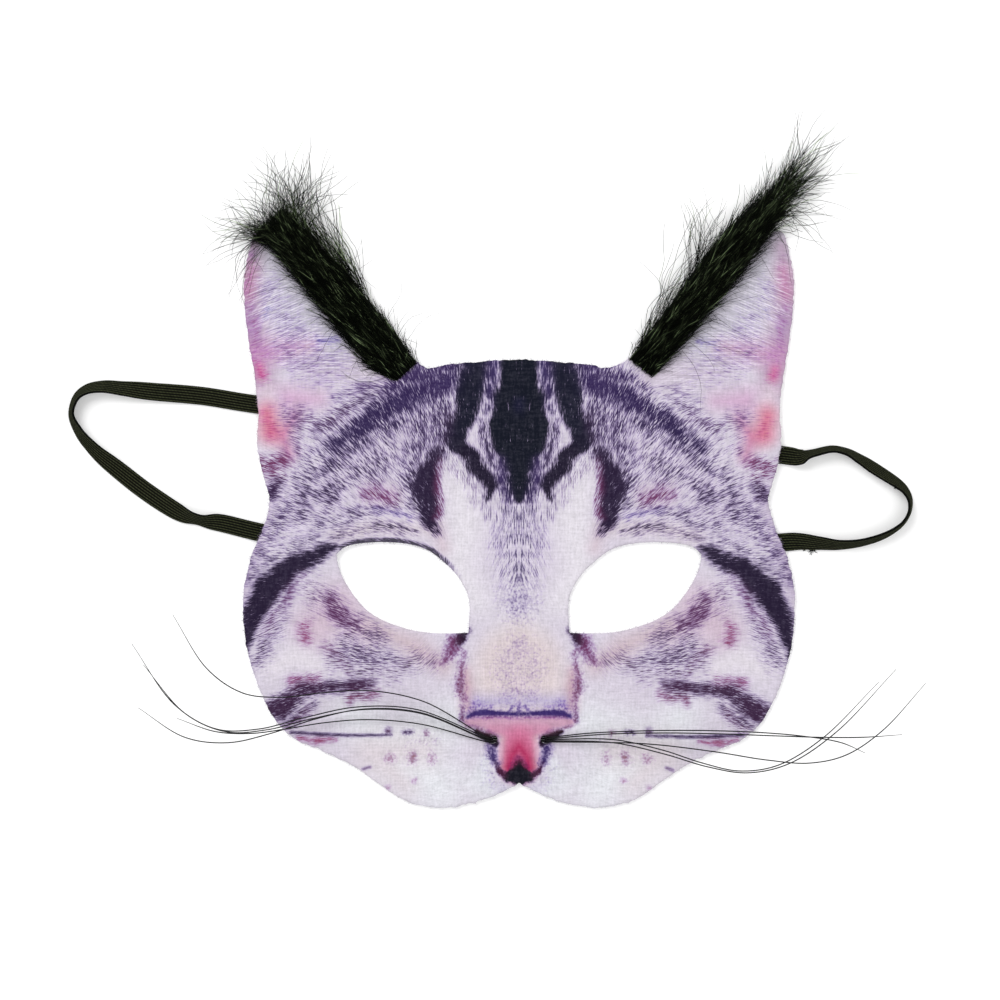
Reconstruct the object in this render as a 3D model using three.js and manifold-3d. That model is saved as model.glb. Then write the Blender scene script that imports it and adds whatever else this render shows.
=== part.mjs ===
// Cat half mask: a printed felt face panel with two cut eye holes, a strip of long
// faux fur along the inner edge of each ear, nylon bristle whiskers threaded behind
// the nose, and one flat elastic head strap. It lies on its back with the face up.
//
// Millimetres. +X runs across the face to the right, +Y up towards the ears and
// +Z out of the face. The origin is on the back of the bridge of the nose, in the
// plane that the mask rests on.

import * as THREE from "three";
import { mergeVertices } from "three/addons/utils/BufferGeometryUtils.js";
import Module from "manifold-3d";

const wasm = await Module();
wasm.setup();

// Driving dimensions
const FELT = 2.0; // thickness of the face panel
const GAP = 0.3; // clearance between neighbouring pieces
const STRAP_WIDTH = 6.0;
const STRAP_THICK = 1.1;
const BRISTLE = 0.4; // diameter of a whisker
const BRISTLE_PITCH = 0.8; // between neighbouring whiskers in their bundle
const NOSTRIL = { x: 8.2, y: -49.2, width: 3.0, slant: Math.PI / 4 }; // hole that the whiskers come through

// What lies under the panel, a strap or the bundle of whiskers, lifts the felt to here.
const UNDER_LIFT = STRAP_THICK + GAP + 0.15;

// Right half of the panel's outline, from the top of the forehead round to the notch
// under the nose. Each run is a smooth curve through its points [x, y], and the runs
// meet at corners.
const OUTLINE = {
  forehead: [[0, 76], [18.8, 74.9], [30.5, 73.4]],
  ear_inner_edge: [[30.5, 73.4], [58, 96.5], [84.6, 118.6]],
  ear_tip: [[84.6, 118.6], [86.4, 119], [87.6, 117.6]],
  ear_and_temple: [
    [87.6, 117.6], [90.3, 106.5], [90.8, 97], [89.7, 86], [87.2, 70], [86, 58],
    [86.4, 48], [84.8, 39.5], [82.3, 29.5], [84.6, 20], [88.3, 11.5],
  ],
  cheek: [
    [88.3, 11.5], [90.9, 0], [91, -9], [90, -18.5], [87.7, -27.3], [83.4, -38],
    [78.6, -45.3], [72.5, -50.2],
  ],
  muzzle: [
    [72.5, -50.2], [64.4, -53.4], [55.4, -57.8], [46.2, -64], [37, -69.8],
    [26.4, -71.9], [18.2, -71], [9.2, -68.3], [0, -63.7],
  ],
};

// Right eye hole: an almond with a corner at each end.
const EYE = {
  upper_lid: [
    [16.7, -14.2], [16.5, -3.3], [20, 4.2], [24.8, 9.2], [30.4, 13.3],
    [36.8, 15.2], [44.5, 15.8], [51, 15.5], [57, 14.4], [60.2, 11.8],
  ],
  lower_lid: [
    [60.2, 11.8], [59.7, 8], [58, 3.6], [54.8, -1.6], [51.2, -5.9], [47.4, -8.8],
    [42.8, -11], [35, -13.4], [26.7, -14.4], [16.7, -14.2],
  ],
};

// The strap's middle line, as rows of [x, y, roll]: roll is how far the flat elastic
// leans from lying (0) to standing on its edge (90). It starts where it is sewn behind
// the left temple, loops outside the panel, crosses behind the forehead, loops again on
// the right and ends behind the right temple.
const STRAP_ROUTE = [
  [-72, 16.4, 0], [-85.6, 19, 0], [-97, 21.8, 12], [-105.8, 23.2, 56], [-114.2, 26.6, 16],
  [-123.9, 33, 0], [-132.3, 39.6, 14], [-140.5, 46.6, 44], [-145.3, 52.4, 60], [-147.7, 58.5, 72],
  [-146.4, 63, 68], [-142.6, 66.2, 58], [-137.2, 67.1, 49], [-130.8, 66.5, 38], [-121, 65.5, 14],
  [-104, 64, 0], [-86.7, 61.3, 0], [-45, 57.3, 0], [0, 53, 0], [45, 48.7, 0], [85, 44.8, 0],
  [92.4, 43.8, 30], [97.3, 45.2, 70], [103.4, 46.5, 72], [107.4, 45.8, 70], [112.4, 43.2, 59],
  [116.8, 40.4, 50], [121.2, 37.6, 52], [124.8, 35.2, 57], [127.3, 33, 65], [128.8, 30.3, 72],
  [129.1, 27.6, 77], [128.5, 24.9, 80], [126.9, 22.3, 80], [123.9, 19.8, 77], [118.9, 17.3, 72],
  [112.9, 15.6, 69], [106.4, 14.9, 62], [99.6, 15.4, 46], [92.6, 16, 24], [86, 15.6, 0], [73, 14.6, 0],
];

// Whiskers: each is one bristle that comes out of both nostril holes. From a hole it
// arches away as a cubic curve to its tip. For each side the rows give [x, y, z] of the
// handle near the hole, the handle near the tip, and the tip.
const WHISKERS = [
  {
    left: { hole: [-62.5, -9, 9], outer: [-87, -64, 10], tip: [-113, -7.6, 16] },
    right: { hole: [33, -45, 5.5], outer: [104, -44.5, 6], tip: [113.5, -53.3, 8] },
  },
  {
    left: { hole: [-69, -13, 17], outer: [-93, -81, 12], tip: [-126.7, -17.2, 13] },
    right: { hole: [56.5, -43.5, 11], outer: [97, -50.7, 8], tip: [125.6, -47.2, 10] },
  },
  {
    left: { hole: [-66, -17, 8], outer: [-87.5, -73, 6], tip: [-125.4, -38.6, 6] },
    right: { hole: [65.5, -43, 9], outer: [69, -86, 11], tip: [117.3, -29.7, 15] },
  },
  {
    left: { hole: [-66.5, -15.5, 25], outer: [-89, -75.5, 18], tip: [-122.2, -23.9, 19] },
    right: { hole: [65.5, -44.5, 19], outer: [71.5, -87, 16], tip: [122.1, -25.2, 22] },
  },
  {
    left: { hole: [-66, -30.5, 3.8], outer: [-81.5, -58, 3.6], tip: [-112.7, -42.2, 4.6] },
    right: { hole: [92, -47.5, 4.6], outer: [97, -77, 5], tip: [133.5, -30.5, 8] },
  },
];

// Fur strips. base and tip are the ends of the strip's middle line [x, y]. The pile's
// rows give [share of the length, width towards the forehead, width over the ear, height].
// Each lock leaves the pile at a share of its length and an offset across it, and
// sweeps out by an angle from the strip's line, bending by curl on its way.
const FUR_STRIPS = [
  {
    name: "ear_fur_left",
    base: [-36.6, 72.2],
    tip: [-82.4, 121.6],
    pile: [
      [0, 4.6, 6.4, 2.6], [0.1, 5.4, 8.8, 4.6], [0.3, 6.6, 8.4, 6], [0.55, 8.6, 7, 6.6],
      [0.8, 8, 6, 6.6], [0.93, 7.6, 5, 5.4], [1, 6, 4.6, 3.4],
    ],
    locks: [
      { from: 0.9, across: -2.5, length: 20, angle: -62, curl: 34, lift: 4, thick: 4.6 },
      { from: 0.94, across: -1, length: 18, angle: -30, curl: 16, lift: 6, thick: 6 },
      { from: 0.94, across: 1.5, length: 19, angle: 0, curl: 16, lift: 8, thick: 6.4 },
      { from: 0.92, across: 4, length: 22, angle: 20, curl: 18, lift: 6, thick: 6.4 },
      { from: 0.86, across: 5.5, length: 27, angle: 30, curl: 22, lift: 5, thick: 6 },
      { from: 0.76, across: 6.5, length: 30, angle: 24, curl: 34, lift: 4, thick: 5 },
      { from: 0.55, across: 6.5, length: 27, angle: 12, curl: 22, lift: 3, thick: 4 },
      { from: 0.3, across: 5, length: 20, angle: 10, curl: 8, lift: 2, thick: 3.2 },
    ],
  },
  {
    name: "ear_fur_right",
    base: [40.4, 74.2],
    tip: [88.6, 133],
    pile: [
      [0, 5.6, 5.6, 2.6], [0.08, 6, 5.4, 4.4], [0.3, 7, 6, 6], [0.55, 8.4, 6.2, 6.8],
      [0.75, 7.4, 5.6, 6.4], [0.9, 5.2, 4.2, 5], [1, 3, 3, 3.2],
    ],
    locks: [
      { from: 0.84, across: 0.5, length: 22, angle: -50, curl: -26, lift: 3, thick: 4 },
      { from: 0.92, across: -0.5, length: 19, angle: -22, curl: -18, lift: 5, thick: 4.6 },
      { from: 0.92, across: 0.5, length: 23, angle: -6, curl: 4, lift: 6, thick: 5.4 },
      { from: 0.86, across: 2, length: 26, angle: 4, curl: 10, lift: 7, thick: 5.4 },
      { from: 0.74, across: 4, length: 27, angle: 10, curl: 14, lift: 7, thick: 5 },
      { from: 0.56, across: 6, length: 27, angle: 18, curl: 18, lift: 5, thick: 4.4 },
      { from: 0.38, across: 5.5, length: 26, angle: 20, curl: -8, lift: 4, thick: 3.8 },
      { from: 0.18, across: 5, length: 22, angle: 16, curl: -8, lift: 2, thick: 3.2 },
    ],
  },
];

// Colours and finishes
const PRINTED_FELT = new THREE.MeshStandardMaterial({ color: 0xcdc0d6, roughness: 0.95, metalness: 0 });
const BLACK_FUR = new THREE.MeshStandardMaterial({ color: 0x12140f, roughness: 0.7, metalness: 0 });
const BLACK_ELASTIC = new THREE.MeshStandardMaterial({ color: 0x1c1d16, roughness: 0.85, metalness: 0 });
const BLACK_NYLON = new THREE.MeshStandardMaterial({ color: 0x0b0b0c, roughness: 0.35, metalness: 0 });

const radians = THREE.MathUtils.degToRad;
const UP = new THREE.Vector3(0, 0, 1);

// A closed geometry as a solid that can be joined and cut, and back again.
function solidOf(geometry) {
  const bare = geometry.clone();
  bare.deleteAttribute("normal");
  bare.deleteAttribute("uv");
  const merged = mergeVertices(bare, 1e-4);
  return new wasm.Manifold(
    new wasm.Mesh({
      numProp: 3,
      vertProperties: merged.attributes.position.array,
      triVerts: new Uint32Array(merged.index.array),
    }),
  );
}

function geometryOf(solid) {
  const mesh = solid.getMesh();
  const geometry = new THREE.BufferGeometry();
  geometry.setAttribute("position", new THREE.BufferAttribute(mesh.vertProperties, 3));
  geometry.setIndex(new THREE.BufferAttribute(mesh.triVerts, 1));
  geometry.computeVertexNormals();
  return geometry;
}

// A closed geometry through rings of points: every ring has the same number of points,
// counter-clockwise as seen from the far end.
function loft(rings) {
  const sides = rings[0].length;
  const positions = rings.flat().flatMap((p) => [p.x, p.y, p.z]);
  const triangles = [];
  for (let i = 0; i + 1 < rings.length; i++) {
    for (let j = 0; j < sides; j++) {
      const a = i * sides + j;
      const b = i * sides + ((j + 1) % sides);
      triangles.push(a, b, b + sides, a, b + sides, a + sides);
    }
  }
  const last = (rings.length - 1) * sides;
  for (let j = 1; j + 1 < sides; j++) {
    triangles.push(0, j + 1, j, last, last + j, last + j + 1);
  }
  const geometry = new THREE.BufferGeometry();
  geometry.setAttribute("position", new THREE.Float32BufferAttribute(positions, 3));
  geometry.setIndex(triangles);
  return geometry;
}

// A solid swept along a line of points. sectionAt gives the section's points
// [across, up] at a share of the way, and rollAt turns it about the line, in degrees.
function sweep(line, sectionAt, rollAt = () => 0) {
  const rings = line.map((point, i) => {
    const before = line[Math.max(i - 1, 0)];
    const after = line[Math.min(i + 1, line.length - 1)];
    const along = after.clone().sub(before).normalize();
    const across = new THREE.Vector3().crossVectors(UP, along).normalize();
    const up = new THREE.Vector3().crossVectors(along, across);
    const share = i / (line.length - 1);
    across.applyAxisAngle(along, radians(rollAt(share)));
    up.applyAxisAngle(along, radians(rollAt(share)));
    return sectionAt(share).map(([a, u]) => point.clone().addScaledVector(across, a).addScaledVector(up, u));
  });
  return loft(rings);
}

function polygonSection(radius, sides) {
  return Array.from({ length: sides }, (_, k) => {
    const turn = (2 * Math.PI * k) / sides;
    return [radius * Math.cos(turn), radius * Math.sin(turn)];
  });
}

// Linear interpolation in a table whose first column rises.
function lookUp(rows, at) {
  const next = Math.max(1, rows.findIndex((row) => row[0] >= at));
  const [low, high] = [rows[next - 1], rows[next]];
  const share = (at - low[0]) / (high[0] - low[0]);
  return low.map((value, k) => THREE.MathUtils.lerp(value, high[k], share));
}

// The felt's drape over what lies under it. Each ridge is a line from one [x, y] to
// another, and the felt comes back down to the resting plane at reach from it.
const CREST = 9; // half-width of a ridge's level top
const RIDGES = [
  { from: [-92, 61.9], to: [92, 44.2], reach: 34 }, // strap behind the forehead
  { from: [-92, 20.6], to: [-74, 16.8], reach: 26 }, // strap's left end
  { from: [92, 15.8], to: [74, 14.7], reach: 26 }, // strap's right end
  { from: [-9, NOSTRIL.y], to: [9, NOSTRIL.y], reach: 24 }, // whiskers behind the nose
];

function backOfFelt(x, y) {
  const heights = RIDGES.map(({ from, to, reach }) => {
    const line = new THREE.Line3(new THREE.Vector3(...from, 0), new THREE.Vector3(...to, 0));
    const here = new THREE.Vector3(x, y, 0);
    const distance = line.closestPointToPoint(here, true, new THREE.Vector3()).distanceTo(here);
    return UNDER_LIFT * (1 - THREE.MathUtils.smoothstep(distance, CREST, reach));
  });
  return Math.max(...heights);
}

const frontOfFelt = (x, y) => backOfFelt(x, y) + FELT;

// Outlines: runs of smooth curves, sampled every few millimetres.
const OUTLINE_STEP = 3.2;

function runPoints(run) {
  const curve = new THREE.SplineCurve(run.map(([x, y]) => new THREE.Vector2(x, y)));
  return curve.getSpacedPoints(Math.max(1, Math.round(curve.getLength() / OUTLINE_STEP))).slice(0, -1);
}

const mirrored = (points) => points.map((p) => new THREE.Vector2(-p.x, p.y));

function outlineShape() {
  const right = Object.values(OUTLINE).flatMap(runPoints);
  const notch = new THREE.Vector2(...OUTLINE.muzzle.at(-1));
  const left = mirrored(right.slice(1)).reverse();
  return new THREE.Shape([...right, notch, ...left]);
}

function prism(shape, bottom, top) {
  const geometry = new THREE.ExtrudeGeometry(shape, { depth: top - bottom, bevelEnabled: false });
  return solidOf(geometry.translate(0, 0, bottom));
}

// A sheet of felt that covers the whole outline and drapes over the ridges.
const SHEET = { left: -96, right: 96, bottom: -76, top: 124, cell: 6 };

function drapedSheet() {
  const columns = Math.round((SHEET.right - SHEET.left) / SHEET.cell);
  const rows = Math.round((SHEET.top - SHEET.bottom) / SHEET.cell);
  const positions = [];
  for (const heightAt of [backOfFelt, frontOfFelt]) {
    for (let r = 0; r <= rows; r++) {
      for (let c = 0; c <= columns; c++) {
        const x = SHEET.left + c * SHEET.cell;
        const y = SHEET.bottom + r * SHEET.cell;
        positions.push(x, y, heightAt(x, y));
      }
    }
  }
  const layer = (rows + 1) * (columns + 1);
  const back = (c, r) => r * (columns + 1) + c;
  const front = (c, r) => layer + back(c, r);
  const triangles = [];
  const quad = (a, b, c, d) => triangles.push(a, b, c, a, c, d);
  for (let r = 0; r < rows; r++) {
    for (let c = 0; c < columns; c++) {
      quad(front(c, r), front(c + 1, r), front(c + 1, r + 1), front(c, r + 1));
      quad(back(c, r), back(c, r + 1), back(c + 1, r + 1), back(c + 1, r));
    }
    quad(back(0, r), front(0, r), front(0, r + 1), back(0, r + 1));
    quad(back(columns, r), back(columns, r + 1), front(columns, r + 1), front(columns, r));
  }
  for (let c = 0; c < columns; c++) {
    quad(back(c, 0), back(c + 1, 0), front(c + 1, 0), front(c, 0));
    quad(back(c, rows), front(c, rows), front(c + 1, rows), back(c + 1, rows));
  }
  const geometry = new THREE.BufferGeometry();
  geometry.setAttribute("position", new THREE.Float32BufferAttribute(positions, 3));
  geometry.setIndex(triangles);
  return solidOf(geometry);
}

// A slanting round hole beside the nose, which leans outwards on its way to the front.
function nostrilHole(side) {
  const hole = new THREE.CylinderGeometry(NOSTRIL.width / 2, NOSTRIL.width / 2, 16, 12);
  hole.rotateX(Math.PI / 2).rotateY(side * NOSTRIL.slant);
  return solidOf(hole.translate(side * NOSTRIL.x, NOSTRIL.y, UNDER_LIFT + FELT / 2));
}

function facePanel() {
  const cutDepth = 20;
  const eye = [...runPoints(EYE.upper_lid), ...runPoints(EYE.lower_lid)];
  let panel = drapedSheet().intersect(prism(outlineShape(), -cutDepth, cutDepth));
  for (const points of [eye, mirrored(eye)]) {
    panel = panel.subtract(prism(new THREE.Shape(points), -cutDepth, cutDepth));
  }
  for (const side of [-1, 1]) {
    panel = panel.subtract(nostrilHole(side));
  }
  return geometryOf(panel);
}

// Flat elastic with chamfered edges. It lies on the resting plane, so where it leans its
// middle rises.
const STRAP_STEPS = 80;
const STRAP_CHAMFER = 0.25;
const STRAP_FLOOR = 0.05;

function strap() {
  const plan = new THREE.CatmullRomCurve3(
    STRAP_ROUTE.map(([x, y, roll]) => new THREE.Vector3(x, y, roll)),
    false,
    "centripetal",
  );
  const halfWidth = STRAP_WIDTH / 2;
  const halfThick = STRAP_THICK / 2;
  const rolls = [];
  const line = [];
  for (let i = 0; i <= STRAP_STEPS; i++) {
    const point = plan.getPoint(i / STRAP_STEPS);
    const roll = THREE.MathUtils.clamp(point.z, 0, 90);
    const height = halfWidth * Math.sin(radians(roll)) + halfThick * Math.cos(radians(roll));
    rolls.push(roll);
    line.push(new THREE.Vector3(point.x, point.y, STRAP_FLOOR + height));
  }
  const edge = halfThick - STRAP_CHAMFER;
  const flat = halfWidth - STRAP_CHAMFER;
  const section = [
    [halfWidth, -edge], [halfWidth, edge], [flat, halfThick], [-flat, halfThick],
    [-halfWidth, edge], [-halfWidth, -edge], [-flat, -halfThick], [flat, -halfThick],
  ];
  return sweep(line, () => section, (share) => -rolls[Math.round(share * STRAP_STEPS)]);
}

// The five bristles lie in their bundle as a row of three with a row of two on top.
const BRISTLE_ROW_HEIGHT = BRISTLE_PITCH * Math.sin(Math.PI / 3);
const BUNDLE = [
  { across: 1, row: 0 },
  { across: 0.5, row: 1 },
  { across: 0, row: 0 },
  { across: -0.5, row: 1 },
  { across: -1, row: 0 },
];

// The way of one bristle from a hole's front to its tip: points on a cubic curve.
const WHISKER_POINTS = 7;

function whiskerSide(root, { hole, outer, tip }) {
  const curve = new THREE.CubicBezierCurve3(root, ...[hole, outer, tip].map((p) => new THREE.Vector3(...p)));
  return curve.getPoints(WHISKER_POINTS).slice(1);
}

// A bristle's place where the bundle passes behind the nose and up through a hole.
function bundlePoint(side, place, { across, row }) {
  const bottom = STRAP_FLOOR + BRISTLE / 2;
  const height = bottom + row * BRISTLE_ROW_HEIGHT;
  const rise = UNDER_LIFT + FELT / 2 - (bottom + BRISTLE_ROW_HEIGHT / 2);
  const normal = (row - 0.5) * BRISTLE_ROW_HEIGHT * Math.SQRT1_2;
  const places = {
    behind: [NOSTRIL.x - rise - 2.2, height],
    hole: [NOSTRIL.x - normal, UNDER_LIFT + FELT / 2 + normal],
    front: [NOSTRIL.x + 1.9 - normal, UNDER_LIFT + FELT / 2 + 1.9 + normal],
  };
  const [x, z] = places[place];
  return new THREE.Vector3(side * x, NOSTRIL.y + across * BRISTLE_PITCH, z);
}

const WHISKER_STEPS = 54;
const WHISKER_SIDES = 5;

function whisker({ left, right }, spot) {
  const [leftRoot, rightRoot] = [-1, 1].map((side) => bundlePoint(side, "front", spot));
  const line = new THREE.CatmullRomCurve3(
    [
      ...whiskerSide(leftRoot, left).reverse(),
      leftRoot,
      bundlePoint(-1, "hole", spot),
      bundlePoint(-1, "behind", spot),
      bundlePoint(1, "behind", spot),
      bundlePoint(1, "hole", spot),
      rightRoot,
      ...whiskerSide(rightRoot, right),
    ],
    false,
    "centripetal",
  );
  const section = polygonSection(BRISTLE / 2, WHISKER_SIDES);
  return sweep(line.getPoints(WHISKER_STEPS), () => section);
}

// A strip of long pile: a low crowned body on the ear, with locks fused to it that
// sweep out past its edges and its tip.
const PILE_STEPS = 12;
const PILE_ARC = 5; // points over the crown
const LOCK_STEPS = 6;
const LOCK_SIDES = 5;
const LOCK_ROOT = 0.45; // a lock's start, as a share of the pile's height
const LOCK_TIP = 0.12; // share of a lock's thickness at its tip

function furStrip({ base, tip, pile, locks }) {
  const start = new THREE.Vector2(...base);
  const along = new THREE.Vector2(...tip).sub(start);
  const length = along.length();
  along.normalize();
  const towardsForehead = new THREE.Vector2(-along.y, along.x);
  if (start.x < 0) towardsForehead.negate();
  const seat = (x, y) => frontOfFelt(x, y) + GAP;
  const place = (share, across) =>
    start.clone().addScaledVector(along, share * length).addScaledVector(towardsForehead, across);

  const rings = [];
  for (let i = 0; i <= PILE_STEPS; i++) {
    const share = i / PILE_STEPS;
    const [, inner, outer, height] = lookUp(pile, share);
    const ring = [];
    for (let k = 0; k <= PILE_ARC; k++) {
      const turn = (Math.PI * k) / PILE_ARC;
      const across = Math.cos(turn) * (Math.cos(turn) > 0 ? inner : outer);
      const { x, y } = place(share, across);
      ring.push(new THREE.Vector3(x, y, seat(x, y) + height * Math.sin(turn)));
    }
    const middle = place(share, 0);
    ring.push(new THREE.Vector3(middle.x, middle.y, seat(middle.x, middle.y)));
    rings.push(start.x < 0 ? ring.reverse() : ring);
  }
  let strip = solidOf(loft(rings));
  for (const { from, across, length: reach, angle, curl, lift, thick } of locks) {
    const root = place(from, across);
    const line = [];
    const rootHeight = Math.max(thick / 2, LOCK_ROOT * lookUp(pile, from)[3]);
    const point = new THREE.Vector3(root.x, root.y, seat(root.x, root.y) + rootHeight);
    for (let i = 0; i <= LOCK_STEPS; i++) {
      line.push(point.clone());
      const lean = radians(angle + (curl * i) / LOCK_STEPS);
      const heading = along.clone().multiplyScalar(Math.cos(lean));
      heading.addScaledVector(towardsForehead, Math.sin(lean));
      point.add(new THREE.Vector3(heading.x, heading.y, lift / reach).multiplyScalar(reach / LOCK_STEPS));
    }
    const sectionAt = (share) =>
      polygonSection((thick / 2) * THREE.MathUtils.lerp(1, LOCK_TIP, share), LOCK_SIDES);
    strip = strip.add(solidOf(sweep(line, sectionAt)));
  }
  return geometryOf(strip);
}

const mask = new THREE.Group();

function addPiece(name, geometry, material) {
  const mesh = new THREE.Mesh(geometry, material);
  mesh.name = name;
  mask.add(mesh);
}

addPiece("face_panel", facePanel(), PRINTED_FELT);
for (const strip of FUR_STRIPS) {
  addPiece(strip.name, furStrip(strip), BLACK_FUR);
}
WHISKERS.forEach((sides, i) => addPiece(`whisker_${i + 1}`, whisker(sides, BUNDLE[i]), BLACK_NYLON));
addPiece("head_strap", strap(), BLACK_ELASTIC);

export default mask;
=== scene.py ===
import math

import bpy
import numpy as np
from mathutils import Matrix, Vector
from mathutils.bvhtree import BVHTree
from mathutils.geometry import delaunay_2d_cdt
from mathutils.kdtree import KDTree


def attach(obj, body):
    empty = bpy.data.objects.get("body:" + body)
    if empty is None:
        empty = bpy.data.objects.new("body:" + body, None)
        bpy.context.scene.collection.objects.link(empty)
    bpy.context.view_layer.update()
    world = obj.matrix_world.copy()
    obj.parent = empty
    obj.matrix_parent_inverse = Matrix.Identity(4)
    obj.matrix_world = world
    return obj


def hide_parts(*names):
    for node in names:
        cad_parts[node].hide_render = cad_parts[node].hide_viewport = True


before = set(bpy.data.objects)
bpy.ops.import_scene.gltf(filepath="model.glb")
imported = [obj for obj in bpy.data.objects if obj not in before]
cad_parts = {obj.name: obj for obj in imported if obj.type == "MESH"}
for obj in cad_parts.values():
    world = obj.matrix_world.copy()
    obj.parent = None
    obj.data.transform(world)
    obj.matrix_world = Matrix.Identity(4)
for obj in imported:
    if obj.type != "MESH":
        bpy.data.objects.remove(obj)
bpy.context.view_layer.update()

# A printed felt cat half mask that lies on its back. Lengths in the tables are in
# millimetres, in the frame's axes: X to the right, Y up the face, Z up from the floor.
MM = 0.001
FELT = 2.0
rng = np.random.default_rng(11)


# Curves and meshes

def linear(colour):
    """Linear light from an sRGB colour given as three numbers from 0 to 255."""
    share = np.asarray(colour, float) / 255
    return np.where(share <= 0.04045, share / 12.92, ((share + 0.055) / 1.055) ** 2.4)


def paint(*colour):
    """A node's colour from three sRGB numbers from 0 to 255."""
    return (*linear(colour), 1)


def smoothstep(value, start, end):
    """0 before start, 1 after end, and a smooth rise between."""
    share = np.clip((value - start) / (end - start), 0, 1)
    return share * share * (3 - 2 * share)


def unit(vectors):
    """Vectors along the last axis, scaled to length one."""
    return vectors / np.maximum(np.linalg.norm(vectors, axis=-1, keepdims=True), 1e-9)


def curve_through(points, per_span):
    """A centripetal Catmull-Rom curve through points, with per_span samples a span."""
    knots = np.asarray(points, float)
    knots = np.vstack([2 * knots[0] - knots[1], knots, 2 * knots[-1] - knots[-2]])
    gaps = np.maximum(np.linalg.norm(np.diff(knots, axis=0), axis=1) ** 0.5, 1e-4)
    share = np.linspace(0, 1, per_span, endpoint=False)[:, None]
    spans = []
    for i in range(1, len(knots) - 2):
        before, here, after, later = knots[i - 1:i + 3]
        gap_before, gap, gap_after = gaps[i - 1:i + 2]
        leave = (here - before) / gap_before - (after - before) / (gap_before + gap) + (after - here) / gap
        arrive = (after - here) / gap - (later - here) / (gap + gap_after) + (later - after) / gap_after
        spans.append(
            (2 * share**3 - 3 * share**2 + 1) * here
            + (share**3 - 2 * share**2 + share) * leave * gap
            + (3 * share**2 - 2 * share**3) * after
            + (share**3 - share**2) * arrive * gap
        )
    return np.vstack([*spans, knots[-2:-1]])


def evenly(points, step):
    """Points about a step apart along a line, its ends kept."""
    lengths = np.concatenate([[0], np.cumsum(np.linalg.norm(np.diff(points, axis=0), axis=1))])
    wanted = np.linspace(0, lengths[-1], max(2, int(round(lengths[-1] / step)) + 1))
    return np.stack([np.interp(wanted, lengths, points[:, i]) for i in range(points.shape[1])], axis=1)


def mesh_object(name, vertices, faces, smooth=True):
    """A mesh object from vertices in millimetres and lists of faces."""
    mesh = bpy.data.meshes.new(name)
    mesh.from_pydata((np.asarray(vertices) * MM).tolist(), [], faces)
    if smooth:
        mesh.shade_smooth()
    made = bpy.data.objects.new(name, mesh)
    bpy.context.scene.collection.objects.link(made)
    return made


def attribute(made, name, kind, values):
    """A value for each vertex, which the material reads by name."""
    field = {"FLOAT": "value", "FLOAT_VECTOR": "vector", "FLOAT_COLOR": "color"}[kind]
    values = np.asarray(values, np.float32)
    if kind == "FLOAT_COLOR":
        values = np.concatenate([values, np.ones((len(values), 1), np.float32)], axis=1)
    layer = made.data.attributes.new(name, kind, "POINT")
    layer.data.foreach_set(field, values.ravel())


def loft(rings):
    """Vertices and faces of a closed skin over rings of points, all with the same count."""
    count, size, _ = rings.shape
    corner = np.arange(size)
    beside = (corner + 1) % size
    start = (np.arange(count - 1) * size)[:, None]
    quads = np.stack([start + corner, start + beside, start + beside + size, start + corner + size], axis=2)
    faces = quads.reshape(-1, 4).tolist()
    faces.append(corner[::-1].tolist())
    faces.append((corner + (count - 1) * size).tolist())
    return rings.reshape(-1, 3), faces


def frames_along(line):
    """Unit vectors level to a line's left, and up from it."""
    along = unit(np.gradient(line, axis=0))
    left = unit(np.cross([0, 0, 1.0], along))
    return left, np.cross(along, left)


def strands(name, paths, radii):
    """One mesh of closed three-sided hairs, each with a pointed tip: hairs x points x 3."""
    count, steps, _ = paths.shape
    along = unit(np.gradient(paths, axis=1))
    side = unit(np.cross(along, [0, 0, 1.0]) + [1e-6, 0, 0])
    up = np.cross(side, along)
    rings = []
    for turn in (0.5, 0.5 + 2 / 3, 0.5 + 4 / 3):
        offset = math.cos(math.pi * turn) * side + math.sin(math.pi * turn) * up
        rings.append(paths[:, :-1] + radii[:, :-1, None] * offset[:, :-1])
    body = np.stack(rings, axis=2).reshape(count, -1, 3)
    vertices = np.concatenate([body, paths[:, -1:]], axis=1)
    faces = [(0, 1, 2)]
    for ring in range(0, 3 * (steps - 2), 3):
        for a, b in ((0, 1), (1, 2), (2, 0)):
            faces.append((ring + a, ring + a + 3, ring + b + 3))
            faces.append((ring + a, ring + b + 3, ring + b))
    last = 3 * (steps - 2)
    for a, b in ((0, 1), (1, 2), (2, 0)):
        faces.append((last + a, last + 3, last + b))
    size = vertices.shape[1]
    every = np.asarray(faces)[None] + (np.arange(count) * size)[:, None, None]
    return mesh_object(name, vertices.reshape(-1, 3), every.reshape(-1, 3).tolist())


# Materials: the length and width of the print's short and long hairs and of the cloth's
# threads, and how deep a relief may look.
SHORT_HAIR = (3.2, 0.34)
LONG_HAIR = (12.0, 0.42)
THREAD = (4.0, 0.75)
RELIEF = 0.2
DIRECTIONS = 8
MIDDLE_TINT = (0.96, 0.84, 1.17, 1)
NAP = paint(176, 170, 188)
NAP_COVER = 0.04
WHITE_HAIR = paint(222, 217, 226)
WHITE_HAIR_COVER = 0.6


def node(tree, kind, inputs=None, **settings):
    """A shader node with its settings, and its inputs joined or set."""
    made = tree.nodes.new(kind)
    for name, value in settings.items():
        setattr(made, name, value)
    for name, value in (inputs or {}).items():
        if isinstance(value, bpy.types.NodeSocket):
            tree.links.new(value, made.inputs[name])
        else:
            made.inputs[name].default_value = value
    return made


def maths(tree, operation, *values):
    """The result of a maths node."""
    return node(tree, "ShaderNodeMath", dict(enumerate(values)), operation=operation).outputs[0]


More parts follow.
